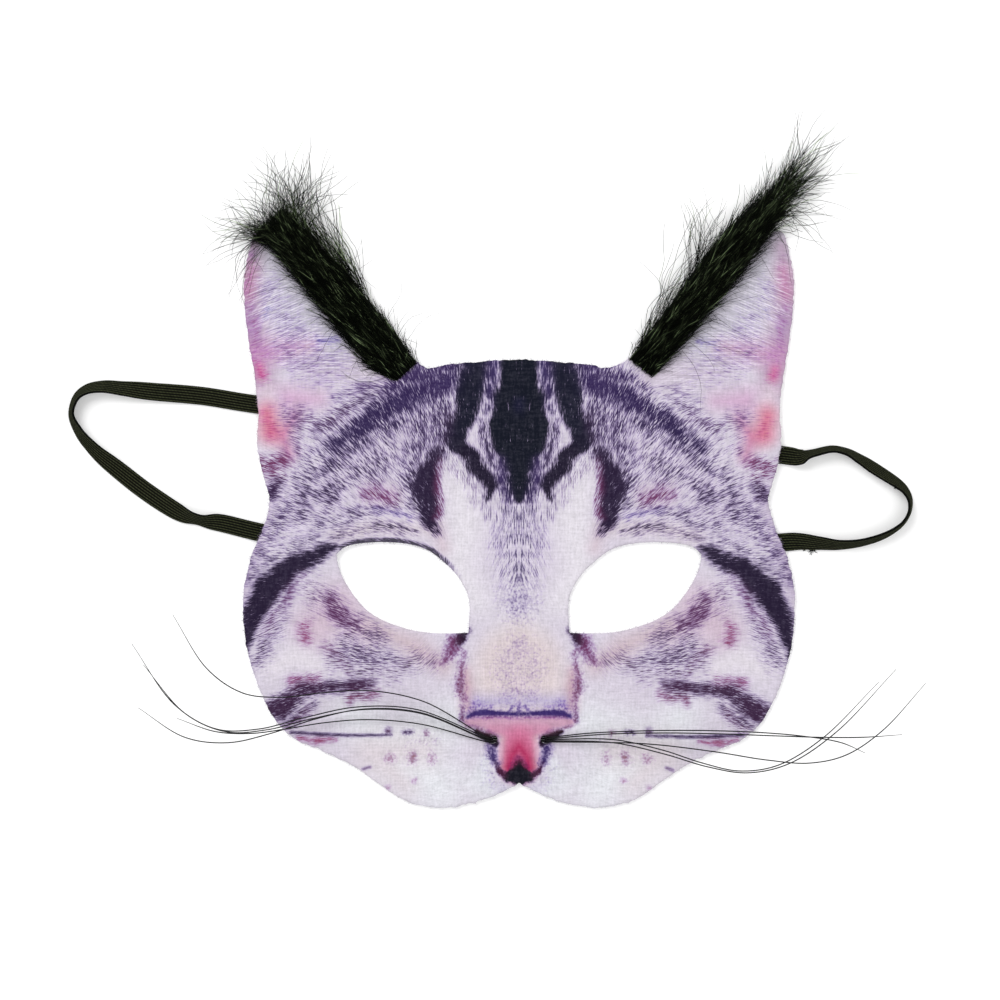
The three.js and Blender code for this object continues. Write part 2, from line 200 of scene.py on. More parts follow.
def ramp(tree, value, low, high, to_low=0.0, to_high=1.0, smooth=False):
    """A value taken from one range to another, and held at its ends."""
    kind = "SMOOTHSTEP" if smooth else "LINEAR"
    places = {0: value, 1: low, 2: high, 3: to_low, 4: to_high}
    return node(tree, "ShaderNodeMapRange", places, interpolation_type=kind).outputs[0]


def blend(tree, share, first, second, mode="MIX"):
    """Two colours mixed."""
    places = {0: share, 6: first, 7: second}
    return node(tree, "ShaderNodeMix", places, data_type="RGBA", blend_type=mode).outputs[2]


def finish_material(name, surface):
    """A material whose surface function fills its node tree and returns a shader."""
    material = bpy.data.materials.new(name)
    material.use_nodes = True
    tree = material.node_tree
    tree.nodes.clear()
    end = node(tree, "ShaderNodeOutputMaterial")
    tree.links.new(surface(tree), end.inputs["Surface"])
    return material


def principled(tree, colour, rough, gloss, **more):
    """A shader from its colour, roughness and gloss, and other inputs by name."""
    finish = {"Base Color": colour, "Roughness": rough, "Specular IOR Level": gloss}
    finish.update({name.replace("_", " "): value for name, value in more.items()})
    return node(tree, "ShaderNodeBsdfPrincipled", finish).outputs[0]


def raised(tree, height, strength):
    """The normals of a fine relief."""
    relief = {"Strength": strength, "Distance": RELIEF * MM, "Height": height}
    return node(tree, "ShaderNodeBump", relief).outputs[0]


def stored(tree, name, output="Fac"):
    """A value that a piece holds for each of its vertices."""
    return node(tree, "ShaderNodeAttribute", attribute_name=name).outputs[output]


def scaled(tree, vector, share):
    """A vector or colour times a number."""
    return node(tree, "ShaderNodeVectorMath", {0: vector, "Scale": share}, operation="SCALE").outputs[0]


def dotted(tree, vector, other):
    """The dot product of two vectors."""
    return node(tree, "ShaderNodeVectorMath", {0: vector, 1: other}, operation="DOT_PRODUCT").outputs[1]


def millimetres(tree):
    """The place on the piece, in millimetres."""
    return scaled(tree, node(tree, "ShaderNodeTexCoord").outputs["Object"], 1 / MM)


def plain_noise(tree, place, scale, detail=3.0, **more):
    """Noise that is 0.5 on average."""
    places = {"Vector": place, "Scale": scale, "Detail": detail, **more}
    return node(tree, "ShaderNodeTexNoise", places).outputs[0]


def brushed(tree, place, flow, long, wide, detail):
    """Noise drawn out into hairs along the flow, about 0.5 on average.

    The flow holds the cosine and sine of twice the hairs' angle. Noise stretched in each
    of several directions is weighted by how near that direction is to the flow.
    """
    total = None
    power = None
    for k in range(DIRECTIONS):
        angle = math.pi * k / DIRECTIONS
        along = dotted(tree, place, (math.cos(angle) / long, math.sin(angle) / long, 0))
        across = dotted(tree, place, (-math.sin(angle) / wide, math.cos(angle) / wide, 0))
        spot = node(tree, "ShaderNodeCombineXYZ", {0: along, 1: across, 2: 7.3 * k}).outputs[0]
        noise = plain_noise(tree, spot, 1.0, detail, Roughness=0.6)
        near = dotted(tree, flow, (math.cos(2 * angle), math.sin(2 * angle), 0))
        weight = maths(tree, "POWER", ramp(tree, near, 0.707, 1.0), 0.8)
        swing = maths(tree, "MULTIPLY", maths(tree, "SUBTRACT", noise, 0.5), weight)
        square = maths(tree, "MULTIPLY", weight, weight)
        total = swing if total is None else maths(tree, "ADD", total, swing)
        power = square if power is None else maths(tree, "ADD", power, square)
    even = maths(tree, "DIVIDE", total, maths(tree, "SQRT", maths(tree, "MAXIMUM", power, 0.05)))
    return maths(tree, "ADD", even, 0.5)


def woven(tree, place):
    """Fine threads: noise drawn out along X and along Y, about 0.5 on average."""
    layers = []
    for long, wide in (THREAD, THREAD[::-1]):
        drawn = {0: place, 1: (1 / long, 1 / wide, 1)}
        spot = node(tree, "ShaderNodeVectorMath", drawn, operation="MULTIPLY").outputs[0]
        layers.append(plain_noise(tree, spot, 1.0, 2.0))
    return maths(tree, "MULTIPLY", maths(tree, "ADD", *layers), 0.5)


def printed_felt(tree):
    """White felt printed with a coat: marks break up into hairs where their cover is thin."""
    place = millimetres(tree)
    parts = node(tree, "ShaderNodeSeparateXYZ", {0: place}).outputs
    folded = {0: maths(tree, "ABSOLUTE", parts[0]), 1: parts[1], 2: parts[2]}
    half = node(tree, "ShaderNodeCombineXYZ", folded).outputs[0]

    def centred(value, reach):
        return maths(tree, "MULTIPLY", maths(tree, "SUBTRACT", value, 0.5), reach)

    flow = stored(tree, "flow", "Vector")
    speckle = node(tree, "ShaderNodeSeparateXYZ", {0: flow}).outputs[2]
    grain = stored(tree, "grain")
    hairs = brushed(tree, half, flow, *SHORT_HAIR, 2.0)
    mottle = plain_noise(tree, half, 0.2)
    fibres = plain_noise(tree, place, 1.5)
    combed = maths(tree, "MULTIPLY", grain, maths(tree, "SUBTRACT", 1.0, speckle))
    tufts = maths(tree, "ADD", centred(hairs, combed), centred(mottle, maths(tree, "MULTIPLY", grain, 0.3)))
    blots = plain_noise(tree, place, 1.3)
    spotted = maths(tree, "MULTIPLY", speckle, ramp(tree, grain, 0.4, 1.6, 0.5, 2.0))
    specks = maths(tree, "ADD", centred(fibres, 0.6), centred(blots, spotted))
    ink = maths(tree, "ADD", stored(tree, "cover"), maths(tree, "ADD", tufts, specks))
    ground = stored(tree, "ground", "Color")
    mark = stored(tree, "mark", "Color")
    between = blend(tree, 1.0, blend(tree, 0.5, ground, mark), MIDDLE_TINT, "MULTIPLY")
    colour = blend(tree, ramp(tree, ink, -0.3, 0.55, smooth=True), ground, between)
    colour = blend(tree, ramp(tree, ink, 0.12, 0.98, smooth=True), colour, mark)
    fine = brushed(tree, half, flow, *LONG_HAIR, 1.0)
    streak = stored(tree, "streak")
    colour = scaled(tree, colour, maths(tree, "ADD", centred(fine, streak), 1.0))
    streaked = ramp(tree, streak, 0.3, 1.0, 0.0, WHITE_HAIR_COVER)
    white_hairs = maths(tree, "MULTIPLY", ramp(tree, fine, 0.54, 0.66), streaked)
    colour = blend(tree, white_hairs, colour, WHITE_HAIR)

    cloth = maths(tree, "ADD", woven(tree, place), centred(fibres, 0.5))
    colour = scaled(tree, colour, ramp(tree, cloth, 0.3, 0.7, 0.86, 1.14))
    colour = blend(tree, ramp(tree, cloth, 0.45, 0.75, 0, NAP_COVER), colour, NAP)
    return principled(tree, colour, 0.95, 0.04, Normal=raised(tree, cloth, 0.4))


def black_hair(tree):
    """Black pile with a slight green cast, and a painted highlight, a pale glint, on some hairs."""
    # The pale colour is a painted highlight along parts of some hairs.
    colour = blend(tree, stored(tree, "painted_glint"), paint(2, 4, 1), paint(180, 206, 152))
    return principled(tree, colour, 0.5, 0.04)


def black_nylon(tree):
    """Smooth black bristle."""
    return principled(tree, paint(10, 10, 12), 0.4, 0.2)


def black_elastic(tree):
    """Black knitted elastic: ribs of slanting stitches, with a painted highlight on their crests and
    painted shade between them, uneven in random patches.
    """
    rib = stored(tree, "rib")
    wave = maths(tree, "SINE", maths(tree, "MULTIPLY", stored(tree, "stitch"), 2 * math.pi))
    worn = plain_noise(tree, millimetres(tree), 0.9)
    # Painted light: rib crests and slanting stitches are painted paler as a highlight and the grooves
    # darker as shade; the same pattern gives the relief.
    knit = maths(tree, "MULTIPLY", ramp(tree, rib, 0.6, 1.0), ramp(tree, wave, -1.0, 1.0, 0.5, 1.0))
    shade = maths(tree, "MULTIPLY", knit, ramp(tree, worn, 0.3, 0.7, 0.5, 1.0))
    colour = blend(tree, shade, paint(2, 3, 1), paint(70, 74, 50))
    return principled(tree, colour, 0.7, 0.06, Normal=raised(tree, knit, 0.5))


def white_floor(tree):
    """White studio paper, lit a little from below."""
    paper = (0.93, 0.93, 0.93, 1)
    return principled(tree, paper, 0.9, 0.1, Emission_Color=(1, 1, 1, 1), Emission_Strength=0.14)


FELT_FINISH = finish_material("printed felt", printed_felt)
HAIR_FINISH = finish_material("black fur", black_hair)
BRISTLE_FINISH = finish_material("black nylon", black_nylon)
ELASTIC_FINISH = finish_material("black elastic", black_elastic)
FLOOR_FINISH = finish_material("white paper", white_floor)


def place_piece(made, finish, slot, *nodes):
    """Gives a piece its finish and lets it stand for CAD nodes. The slot is not used."""
    made.data.materials.append(finish)
    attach(made, "root")
    if nodes:
        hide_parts(*nodes)


# Camera, floor and light: the photo looks straight down on the mask.
CAMERA_HEIGHT = 1100.0
PHOTO_WIDTH = 330.0
PHOTO_CENTRE = (-6.27, 29.7)
FACE_LEVEL = 2.5

lens = bpy.data.cameras.new("camera")
lens.sensor_width = 36
lens.lens = 36 * (CAMERA_HEIGHT - FACE_LEVEL) / PHOTO_WIDTH
camera = bpy.data.objects.new("camera", lens)
camera.location = Vector((*PHOTO_CENTRE, CAMERA_HEIGHT)) * MM
bpy.context.scene.collection.objects.link(camera)
bpy.context.scene.camera = camera

bpy.ops.mesh.primitive_plane_add(size=6)
floor = bpy.context.active_object
floor.name = "floor"
floor.data.materials.append(FLOOR_FINISH)


def softbox(name, place, size, power):
    """A square area light aimed at the mask, its place and size in metres."""
    lamp = bpy.data.lights.new(name, "AREA")
    lamp.size = size
    lamp.energy = power
    made = bpy.data.objects.new(name, lamp)
    made.location = place
    made.rotation_euler = (Vector((0, 0.02, 0)) - Vector(place)).to_track_quat("-Z", "Y").to_euler()
    bpy.context.scene.collection.objects.link(made)


softbox("key light", (-0.7, 0.9, 1.5), 0.9, 16)
softbox("fill light", (0.9, -0.5, 1.6), 1.2, 7)

world = bpy.data.worlds.new("studio")
world.use_nodes = True
world.node_tree.nodes["Background"].inputs["Color"].default_value = (1, 1, 1, 1)
world.node_tree.nodes["Background"].inputs["Strength"].default_value = 0.72
bpy.context.scene.world = world
bpy.context.scene.view_settings.view_transform = "Standard"


# Head strap: a flat elastic on its route [x, y, roll], the roll in degrees from lying flat.
STRAP_WIDTH = 6.0
STRAP_THICK = 1.1
STRAP_RIBS = 7
STRAP_RIB_DEPTH = 0.2
STRAP_FLOOR = 0.05
STRAP_STEP = 1.0
STRAP_SAMPLES = 60
STITCH = 1.1
STITCH_SLANT = 0.5

# Frayed places on the strap's edges: x, y, how many edge points they take in, threads, reach
FRAYS = [(97, 13, 5, 22, 2.6), (123.6, 33.6, 2, 10, 1.6), (94, 13.2, 4, 6, 1.4), (-104, 25, 3, 4, 1.2)]
FRAY_POINTS = 6
FRAY_WIDTH = 0.22
STRAP_ROUTE = [
    (-72, 16.4, 0), (-85.6, 19, 0), (-97, 21.8, 12), (-105.8, 23.2, 56), (-114.2, 26.6, 16),
    (-123.9, 33, 0), (-132.3, 39.6, 14), (-140.5, 46.6, 44), (-145.3, 52.4, 60), (-147.7, 58.5, 72),
    (-146.4, 63, 68), (-142.6, 66.2, 58), (-137.2, 67.1, 49), (-130.8, 66.5, 38), (-121, 65.5, 14),
    (-104, 64, 0), (-86.7, 61.3, 0), (-45, 57.3, 0), (0, 53, 0), (45, 48.7, 0), (85, 44.8, 0),
    (92.4, 43.8, 30), (97.3, 45.2, 70), (103.4, 46.5, 72), (107.4, 45.8, 70), (112.4, 43.2, 59),
    (116.8, 40.4, 50), (121.2, 37.6, 52), (124.8, 35.2, 57), (127.3, 33, 65), (128.8, 30.3, 72),
    (129.1, 27.6, 77), (128.5, 24.9, 80), (126.9, 22.3, 80), (123.9, 19.8, 77), (118.9, 17.3, 72),
    (112.9, 15.6, 69), (106.4, 14.9, 62), (99.6, 15.4, 46), (92.6, 16, 24), (86, 15.6, 0), (73, 14.6, 0),
]


def strap_section():
    """Points [across, up] round the ribbed band, and how far each stands on a rib."""
    across = np.linspace(-0.5, 0.5, STRAP_RIBS * 6 + 1)
    crest = np.abs(np.cos(math.pi * STRAP_RIBS * (across + 0.5 / STRAP_RIBS + 0.5)))
    rounded = (1 - np.abs(1.98 * across) ** 6) ** (1 / 4)
    half = (STRAP_THICK / 2 - STRAP_RIB_DEPTH * (1 - crest)) * rounded
    top = np.stack([across * STRAP_WIDTH, half], axis=1)
    under = np.stack([across * STRAP_WIDTH, -half], axis=1)
    return np.vstack([top[::-1], under]), np.concatenate([crest[::-1], crest])


def make_strap():
    """The strap's mesh, its middle line and length in metres, and its edges."""
    route = evenly(curve_through(STRAP_ROUTE, STRAP_SAMPLES), STRAP_STEP)
    roll = np.radians(np.clip(route[:, 2], 0, 90))
    height = STRAP_FLOOR + STRAP_WIDTH / 2 * np.sin(roll) + STRAP_THICK / 2 * np.cos(roll)
    line = np.column_stack([route[:, :2], height])
    left, up = frames_along(line)
    sideways = np.cos(roll)[:, None] * left - np.sin(roll)[:, None] * up
    outwards = np.sin(roll)[:, None] * left + np.cos(roll)[:, None] * up
    section, crest = strap_section()
    across, rise = section[None, :, :1], section[None, :, 1:]
    rings = line[:, None] + across * sideways[:, None] + rise * outwards[:, None]
    made = mesh_object("strap_band", *loft(rings))
    lengths = np.concatenate([[0], np.cumsum(np.linalg.norm(np.diff(line, axis=0), axis=1))])
    stitch = lengths[:, None] / STITCH + STITCH_SLANT * section[None, :, 0]
    attribute(made, "rib", "FLOAT", np.tile(crest, len(line)))
    attribute(made, "stitch", "FLOAT", stitch.ravel())
    edges = [line + side * STRAP_WIDTH / 2 * sideways for side in (-1, 1)]
    return made, line * MM, lengths[-1] * MM, np.vstack(edges)


def make_fray(edges):
    """Loose threads where the strap's edge is frayed."""
    paths = []
    for x, y, spread, count, reach in FRAYS:
        near = edges[np.argsort(np.hypot(edges[:, 0] - x, edges[:, 1] - y))[:spread]]
        for _ in range(count):
            root = near[rng.integers(len(near))]
            turns = rng.uniform(0, 2 * math.pi) + np.cumsum(rng.normal(0, 0.5, FRAY_POINTS - 1))
            stride = rng.uniform(0.4, 1) * reach / FRAY_POINTS
            climb = rng.uniform(-0.1, 0.3, FRAY_POINTS - 1)
            steps = stride * np.column_stack([np.cos(turns), np.sin(turns), climb])
            path = root + np.vstack([[0, 0, 0], np.cumsum(steps, axis=0)])
            path[:, 2] = np.maximum(path[:, 2], FRAY_WIDTH)
            paths.append(path)
    radii = np.full((len(paths), FRAY_POINTS), FRAY_WIDTH / 2)
    made = strands("strap_fray", np.array(paths), radii)
    # Loose threads take a middle level of the elastic's painted rib highlight and shade.
    for name in ("rib", "stitch"):
        attribute(made, name, "FLOAT", np.full(len(made.data.vertices), 0.5))
    return made


strap, strap_line, strap_length, strap_edges = make_strap()
place_piece(strap, ELASTIC_FINISH, "black_elastic", "head_strap")
fray = make_fray(strap_edges)
place_piece(fray, ELASTIC_FINISH, "black_elastic")


# Whiskers: five bristles, each out of both nostril holes, with [x, y, z] of the handle
# near the hole, the handle near the tip, and the tip, for the left side and the right. A
# tip is thinner over the last few points of its curve. Behind the felt the bristles run in
# a bundle of two rows, given as [places across, row].
BRISTLE = 0.4
BRISTLE_SIDES = 10
BRISTLE_TIP = 0.45
BRISTLE_TAPER = 14
BRISTLE_PITCH = 0.8
NOSTRIL = (8.2, -49.2)
UNDER_LIFT = 1.55
BUNDLE_FLOOR = 0.05
BUNDLE_RUN = 2.2
HOLE_RUN = 1.9
WHISKER_POINTS = 8
WHISKER_SAMPLES = 12
WHISKERS = [
    [((-62.5, -9, 9), (-87, -64, 10), (-113, -7.6, 16)),
     ((33, -45, 5.5), (104, -44.5, 6), (113.5, -53.3, 8))],
    [((-69, -13, 17), (-93, -81, 12), (-126.7, -17.2, 13)),
     ((56.5, -43.5, 11), (97, -50.7, 8), (125.6, -47.2, 10))],
    [((-66, -17, 8), (-87.5, -73, 6), (-125.4, -38.6, 6)),
     ((65.5, -43, 9), (69, -86, 11), (117.3, -29.7, 15))],
    [((-66.5, -15.5, 25), (-89, -75.5, 18), (-122.2, -23.9, 19)),
     ((65.5, -44.5, 19), (71.5, -87, 16), (122.1, -25.2, 22))],
    [((-66, -30.5, 3.8), (-81.5, -58, 3.6), (-112.7, -42.2, 4.6)),
     ((92, -47.5, 4.6), (97, -77, 5), (133.5, -30.5, 8))],
]
BUNDLE = [(1, 0), (0.5, 1), (0, 0), (-0.5, 1), (-1, 0)]


def nostril_points(side, across, row):
    """A bristle's places in its bundle: behind the felt, in the hole, and in front of it."""
    row_height = BRISTLE_PITCH * math.sin(math.pi / 3)
    bottom = BUNDLE_FLOOR + BRISTLE / 2
    middle = UNDER_LIFT + FELT / 2
    rise = middle - (bottom + row_height / 2)
    normal = (row - 0.5) * row_height * math.sqrt(0.5)
    y = NOSTRIL[1] + across * BRISTLE_PITCH
    behind = (side * (NOSTRIL[0] - rise - BUNDLE_RUN), y, bottom + row * row_height)
    hole = (side * (NOSTRIL[0] - normal), y, middle + normal)
    front = (side * (NOSTRIL[0] + HOLE_RUN - normal), y, middle + HOLE_RUN + normal)
    return behind, hole, front


def whisker_side(root, handles):
    """Points on the cubic curve from a hole's front to the tip, the first one left out."""
    share = np.linspace(0, 1, WHISKER_POINTS)[1:, None]
    first, second, third, fourth = (np.asarray(p, float) for p in (root, *handles))
    rest = 1 - share
    return rest**3 * first + 3 * rest**2 * share * second + 3 * rest * share**2 * third + share**3 * fourth


def make_whisker(number):
    """One bristle from its left tip to its right tip."""
    across, row = BUNDLE[number]
    left_behind, left_hole, left_front = nostril_points(-1, across, row)
    right_behind, right_hole, right_front = nostril_points(1, across, row)
    left_curve = whisker_side(left_front, WHISKERS[number][0])
    right_curve = whisker_side(right_front, WHISKERS[number][1])
    middle = [left_front, left_hole, left_behind, right_behind, right_hole, right_front]
    line = curve_through(np.vstack([left_curve[::-1], middle, right_curve]), WHISKER_SAMPLES)
    left, up = frames_along(line)
    ends = np.minimum(np.arange(len(line)), np.arange(len(line))[::-1])
    radius = BRISTLE / 2 * (BRISTLE_TIP + (1 - BRISTLE_TIP) * smoothstep(ends, 0, BRISTLE_TAPER))
    turn = 2 * math.pi * np.arange(BRISTLE_SIDES) / BRISTLE_SIDES
    around = np.cos(turn)[None, :, None] * left[:, None] + np.sin(turn)[None, :, None] * up[:, None]
    rings = line[:, None] + radius[:, None, None] * around
    made = mesh_object(f"bristle_{number + 1}", *loft(rings))
    place_piece(made, BRISTLE_FINISH, "black_nylon", f"whisker_{number + 1}")


for number in range(len(WHISKERS)):
    make_whisker(number)


# Face panel: the cut outline and holes come from the CAD panel's front face. Holes up to the
# slanting size, which are the nostrils, run through the felt at a slant.
CELL = 0.56
BACK_CELL = 3.0
EDGE_STEP = 0.5
EDGE_SAMPLES = 16
SMOOTHING_ROUNDS = 40
CORNER_TURN = math.radians(50)
EDGE_ROUND = 0.35
CUT_UNEVENNESS = 0.06
SMALLEST_HOLE = 2.0
SLANTING_HOLE = 10.0
ABOVE_ALL = 40.0


class CadSheet:
    """The CAD panel's front or back face: its triangles and its edge loops."""

    def __init__(self, name, side):
        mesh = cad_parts[name].data
        mesh.calc_loop_triangles()
        points = np.empty(len(mesh.vertices) * 3)
        mesh.vertices.foreach_get("co", points)
        triangles = np.empty(len(mesh.loop_triangles) * 3, np.int32)
        mesh.loop_triangles.foreach_get("vertices", triangles)
        places = np.round(points.reshape(-1, 3) / MM, 3)
        self.points, joined = np.unique(places, axis=0, return_inverse=True)
        corners = joined.ravel()[triangles].reshape(-1, 3)
        a, b, c = (self.points[corners[:, i]] for i in range(3))
        normals = np.cross(b - a, c - a)
        areas = np.linalg.norm(normals, axis=1)
        facing = side * normals[:, 2] > 0.5 * np.maximum(areas, 1e-9)
        self.triangles = corners[facing & (areas > 1e-9)]
        self.tree = BVHTree.FromPolygons(self.points.tolist(), self.triangles.tolist())

    def loops(self):
        """The face's edges joined into loops, the longest first."""
        edges = np.vstack([self.triangles[:, [0, 1]], self.triangles[:, [1, 2]], self.triangles[:, [2, 0]]])
        directed = {(int(a), int(b)) for a, b in edges}
        following = {a: b for a, b in directed if (b, a) not in directed}
        found = []
        while following:
            start, here = following.popitem()
            loop = [start]
            while here != start:
                loop.append(here)
                here = following.pop(here)
            found.append(self.points[loop][:, :2])
        real = [loop for loop in found if np.ptp(loop, axis=0).max() > SMALLEST_HOLE]
        return sorted(real, key=lambda loop: -np.ptp(loop, axis=0).max())

    def heights(self, plan):
        """The face's height at each [x, y]."""
        found = np.empty(len(plan))
        for i, (x, y) in enumerate(plan.tolist()):
            hit = self.tree.ray_cast(Vector((x, y, ABOVE_ALL)), Vector((0, 0, -1)))[0]
            if hit is None:
                hit = self.tree.find_nearest(Vector((x, y, FELT)))[0]
            found[i] = hit.z
        return found


def turns(loop):
    """The angle by which a loop turns at each of its points."""
    ahead = np.roll(loop, -1, axis=0) - loop
    behind = loop - np.roll(loop, 1, axis=0)
    cross = behind[:, 0] * ahead[:, 1] - behind[:, 1] * ahead[:, 0]
    return np.arctan2(cross, (behind * ahead).sum(axis=1))


def smooth_loop(loop, step):
    """A loop made smooth between its corners, with points about a step apart."""
    loop = loop[np.abs(turns(loop)) > math.radians(0.5)]
    corners = np.flatnonzero(np.abs(turns(loop)) > CORNER_TURN)
    if len(corners) == 0:
        wrapped = np.vstack([loop[-3:], loop, loop[:4]])
        fine = curve_through(wrapped, EDGE_SAMPLES)
        once = fine[3 * EDGE_SAMPLES:(3 + len(loop)) * EDGE_SAMPLES + 1]
        return evenly(once, step)[:-1]
    runs = []
    for start, end in zip(corners, np.append(corners[1:], corners[0] + len(loop))):
        run = loop[np.arange(start, end + 1) % len(loop)]
        runs.append(evenly(curve_through(run, EDGE_SAMPLES), step)[:-1])
    return np.vstack(runs)


def outward(loop):
    """Unit vectors out of the felt at each point of a loop, which has the felt on its left."""
    ahead = np.roll(loop, -1, axis=0) - np.roll(loop, 1, axis=0)
    return unit(np.column_stack([ahead[:, 1], -ahead[:, 0]]))


def ragged(loop):
    """A loop with the small unevenness of an edge that is cut by hand."""
    noise = rng.normal(0, 1, len(loop))
    noise = noise + np.roll(noise, 1) + np.roll(noise, -1)
    return loop + CUT_UNEVENNESS * noise[:, None] * outward(loop)


def lattice(loops, cell, margin):
    """Points of a triangular lattice inside the first loop and outside the others."""
    edges = [np.hstack([loop, np.roll(loop, -1, axis=0)]) for loop in loops]
    x0, y0, x1, y1 = np.vstack(edges).T
    low, high = loops[0].min(axis=0), loops[0].max(axis=0)
    rows = []
    for number, y in enumerate(np.arange(low[1] + 0.013, high[1], cell * math.sqrt(0.75))):
        crossed = (y0 <= y) != (y1 <= y)
        cuts = np.sort(x0[crossed] + (y - y0[crossed]) * (x1 - x0)[crossed] / (y1 - y0)[crossed])
        x = np.arange(low[0] + 0.5 * cell * (number % 2), high[0], cell)
        x = x[np.searchsorted(cuts, x) % 2 == 1]
        rows.append(np.column_stack([x, np.full(len(x), y)]))
    filled = np.vstack(rows)
    return filled[from_edge(filled, loops) > margin * cell]


def from_edge(plan, loops):
    """Each point's distance from the nearest point of the loops."""
    edge = np.vstack(loops)
    near = KDTree(len(edge))
    for i, (x, y) in enumerate(edge.tolist()):
        near.insert((x, y, 0), i)
    near.balance()
    return np.array([near.find((x, y, 0))[2] for x, y in plan.tolist()])


def triangulate(loops, inner):
    """Triangles over the loops' points and then the inner points."""
    plan = np.vstack([*loops, inner])
    edges = []
    start = 0
    for loop in loops:
        count = len(loop)
        edges += [(start + i, start + (i + 1) % count) for i in range(count)]
        start += count
    made = delaunay_2d_cdt([Vector(p) for p in plan.tolist()], edges, [], 1, 1e-7)
    if len(made[0]) != len(plan):
        raise ValueError("the panel's edge loops cross")
    triangles = np.array(made[2])
    on_edge = (triangles < start).all(axis=1)
    kept = ~on_edge
    kept[on_edge] = inside(plan[triangles[on_edge]].mean(axis=1), loops)
    return plan, triangles[kept]


def inside(points, loops):
    """Whether each point lies inside an odd number of loops."""
    odd = np.zeros(len(points), bool)
    for loop in loops:
        for (x0, y0), (x1, y1) in zip(loop, np.roll(loop, -1, axis=0)):
            if y0 != y1:
                crossed = (y0 <= points[:, 1]) != (y1 <= points[:, 1])
                odd ^= crossed & (points[:, 0] < x0 + (points[:, 1] - y0) * (x1 - x0) / (y1 - y0))
    return odd


def relax(values, triangles, rounds):
    """Values evened out over a mesh's neighbours."""
    edges = np.vstack([triangles[:, [0, 1]], triangles[:, [1, 2]], triangles[:, [2, 0]]])
    edges = np.vstack([edges, edges[:, ::-1]])
    count = np.bincount(edges[:, 0], minlength=len(values))
    for _ in range(rounds):
        total = np.bincount(edges[:, 0], weights=values[edges[:, 1]], minlength=len(values))
        values = 0.5 * values + 0.5 * total / np.maximum(count, 1)
    return values


# The print. Colours are sRGB as they look in the studio light. The coat is the same on
# both sides of the face, so x is the distance from the middle line. Each ground patch
# and mark is a brush stroke through rows of [x, y, width], soft at its edge over the
# given distance.
STUDIO_LIGHT = 1.16
UNPRINTED = (228, 226, 230)
GROUND = (214, 206, 220)

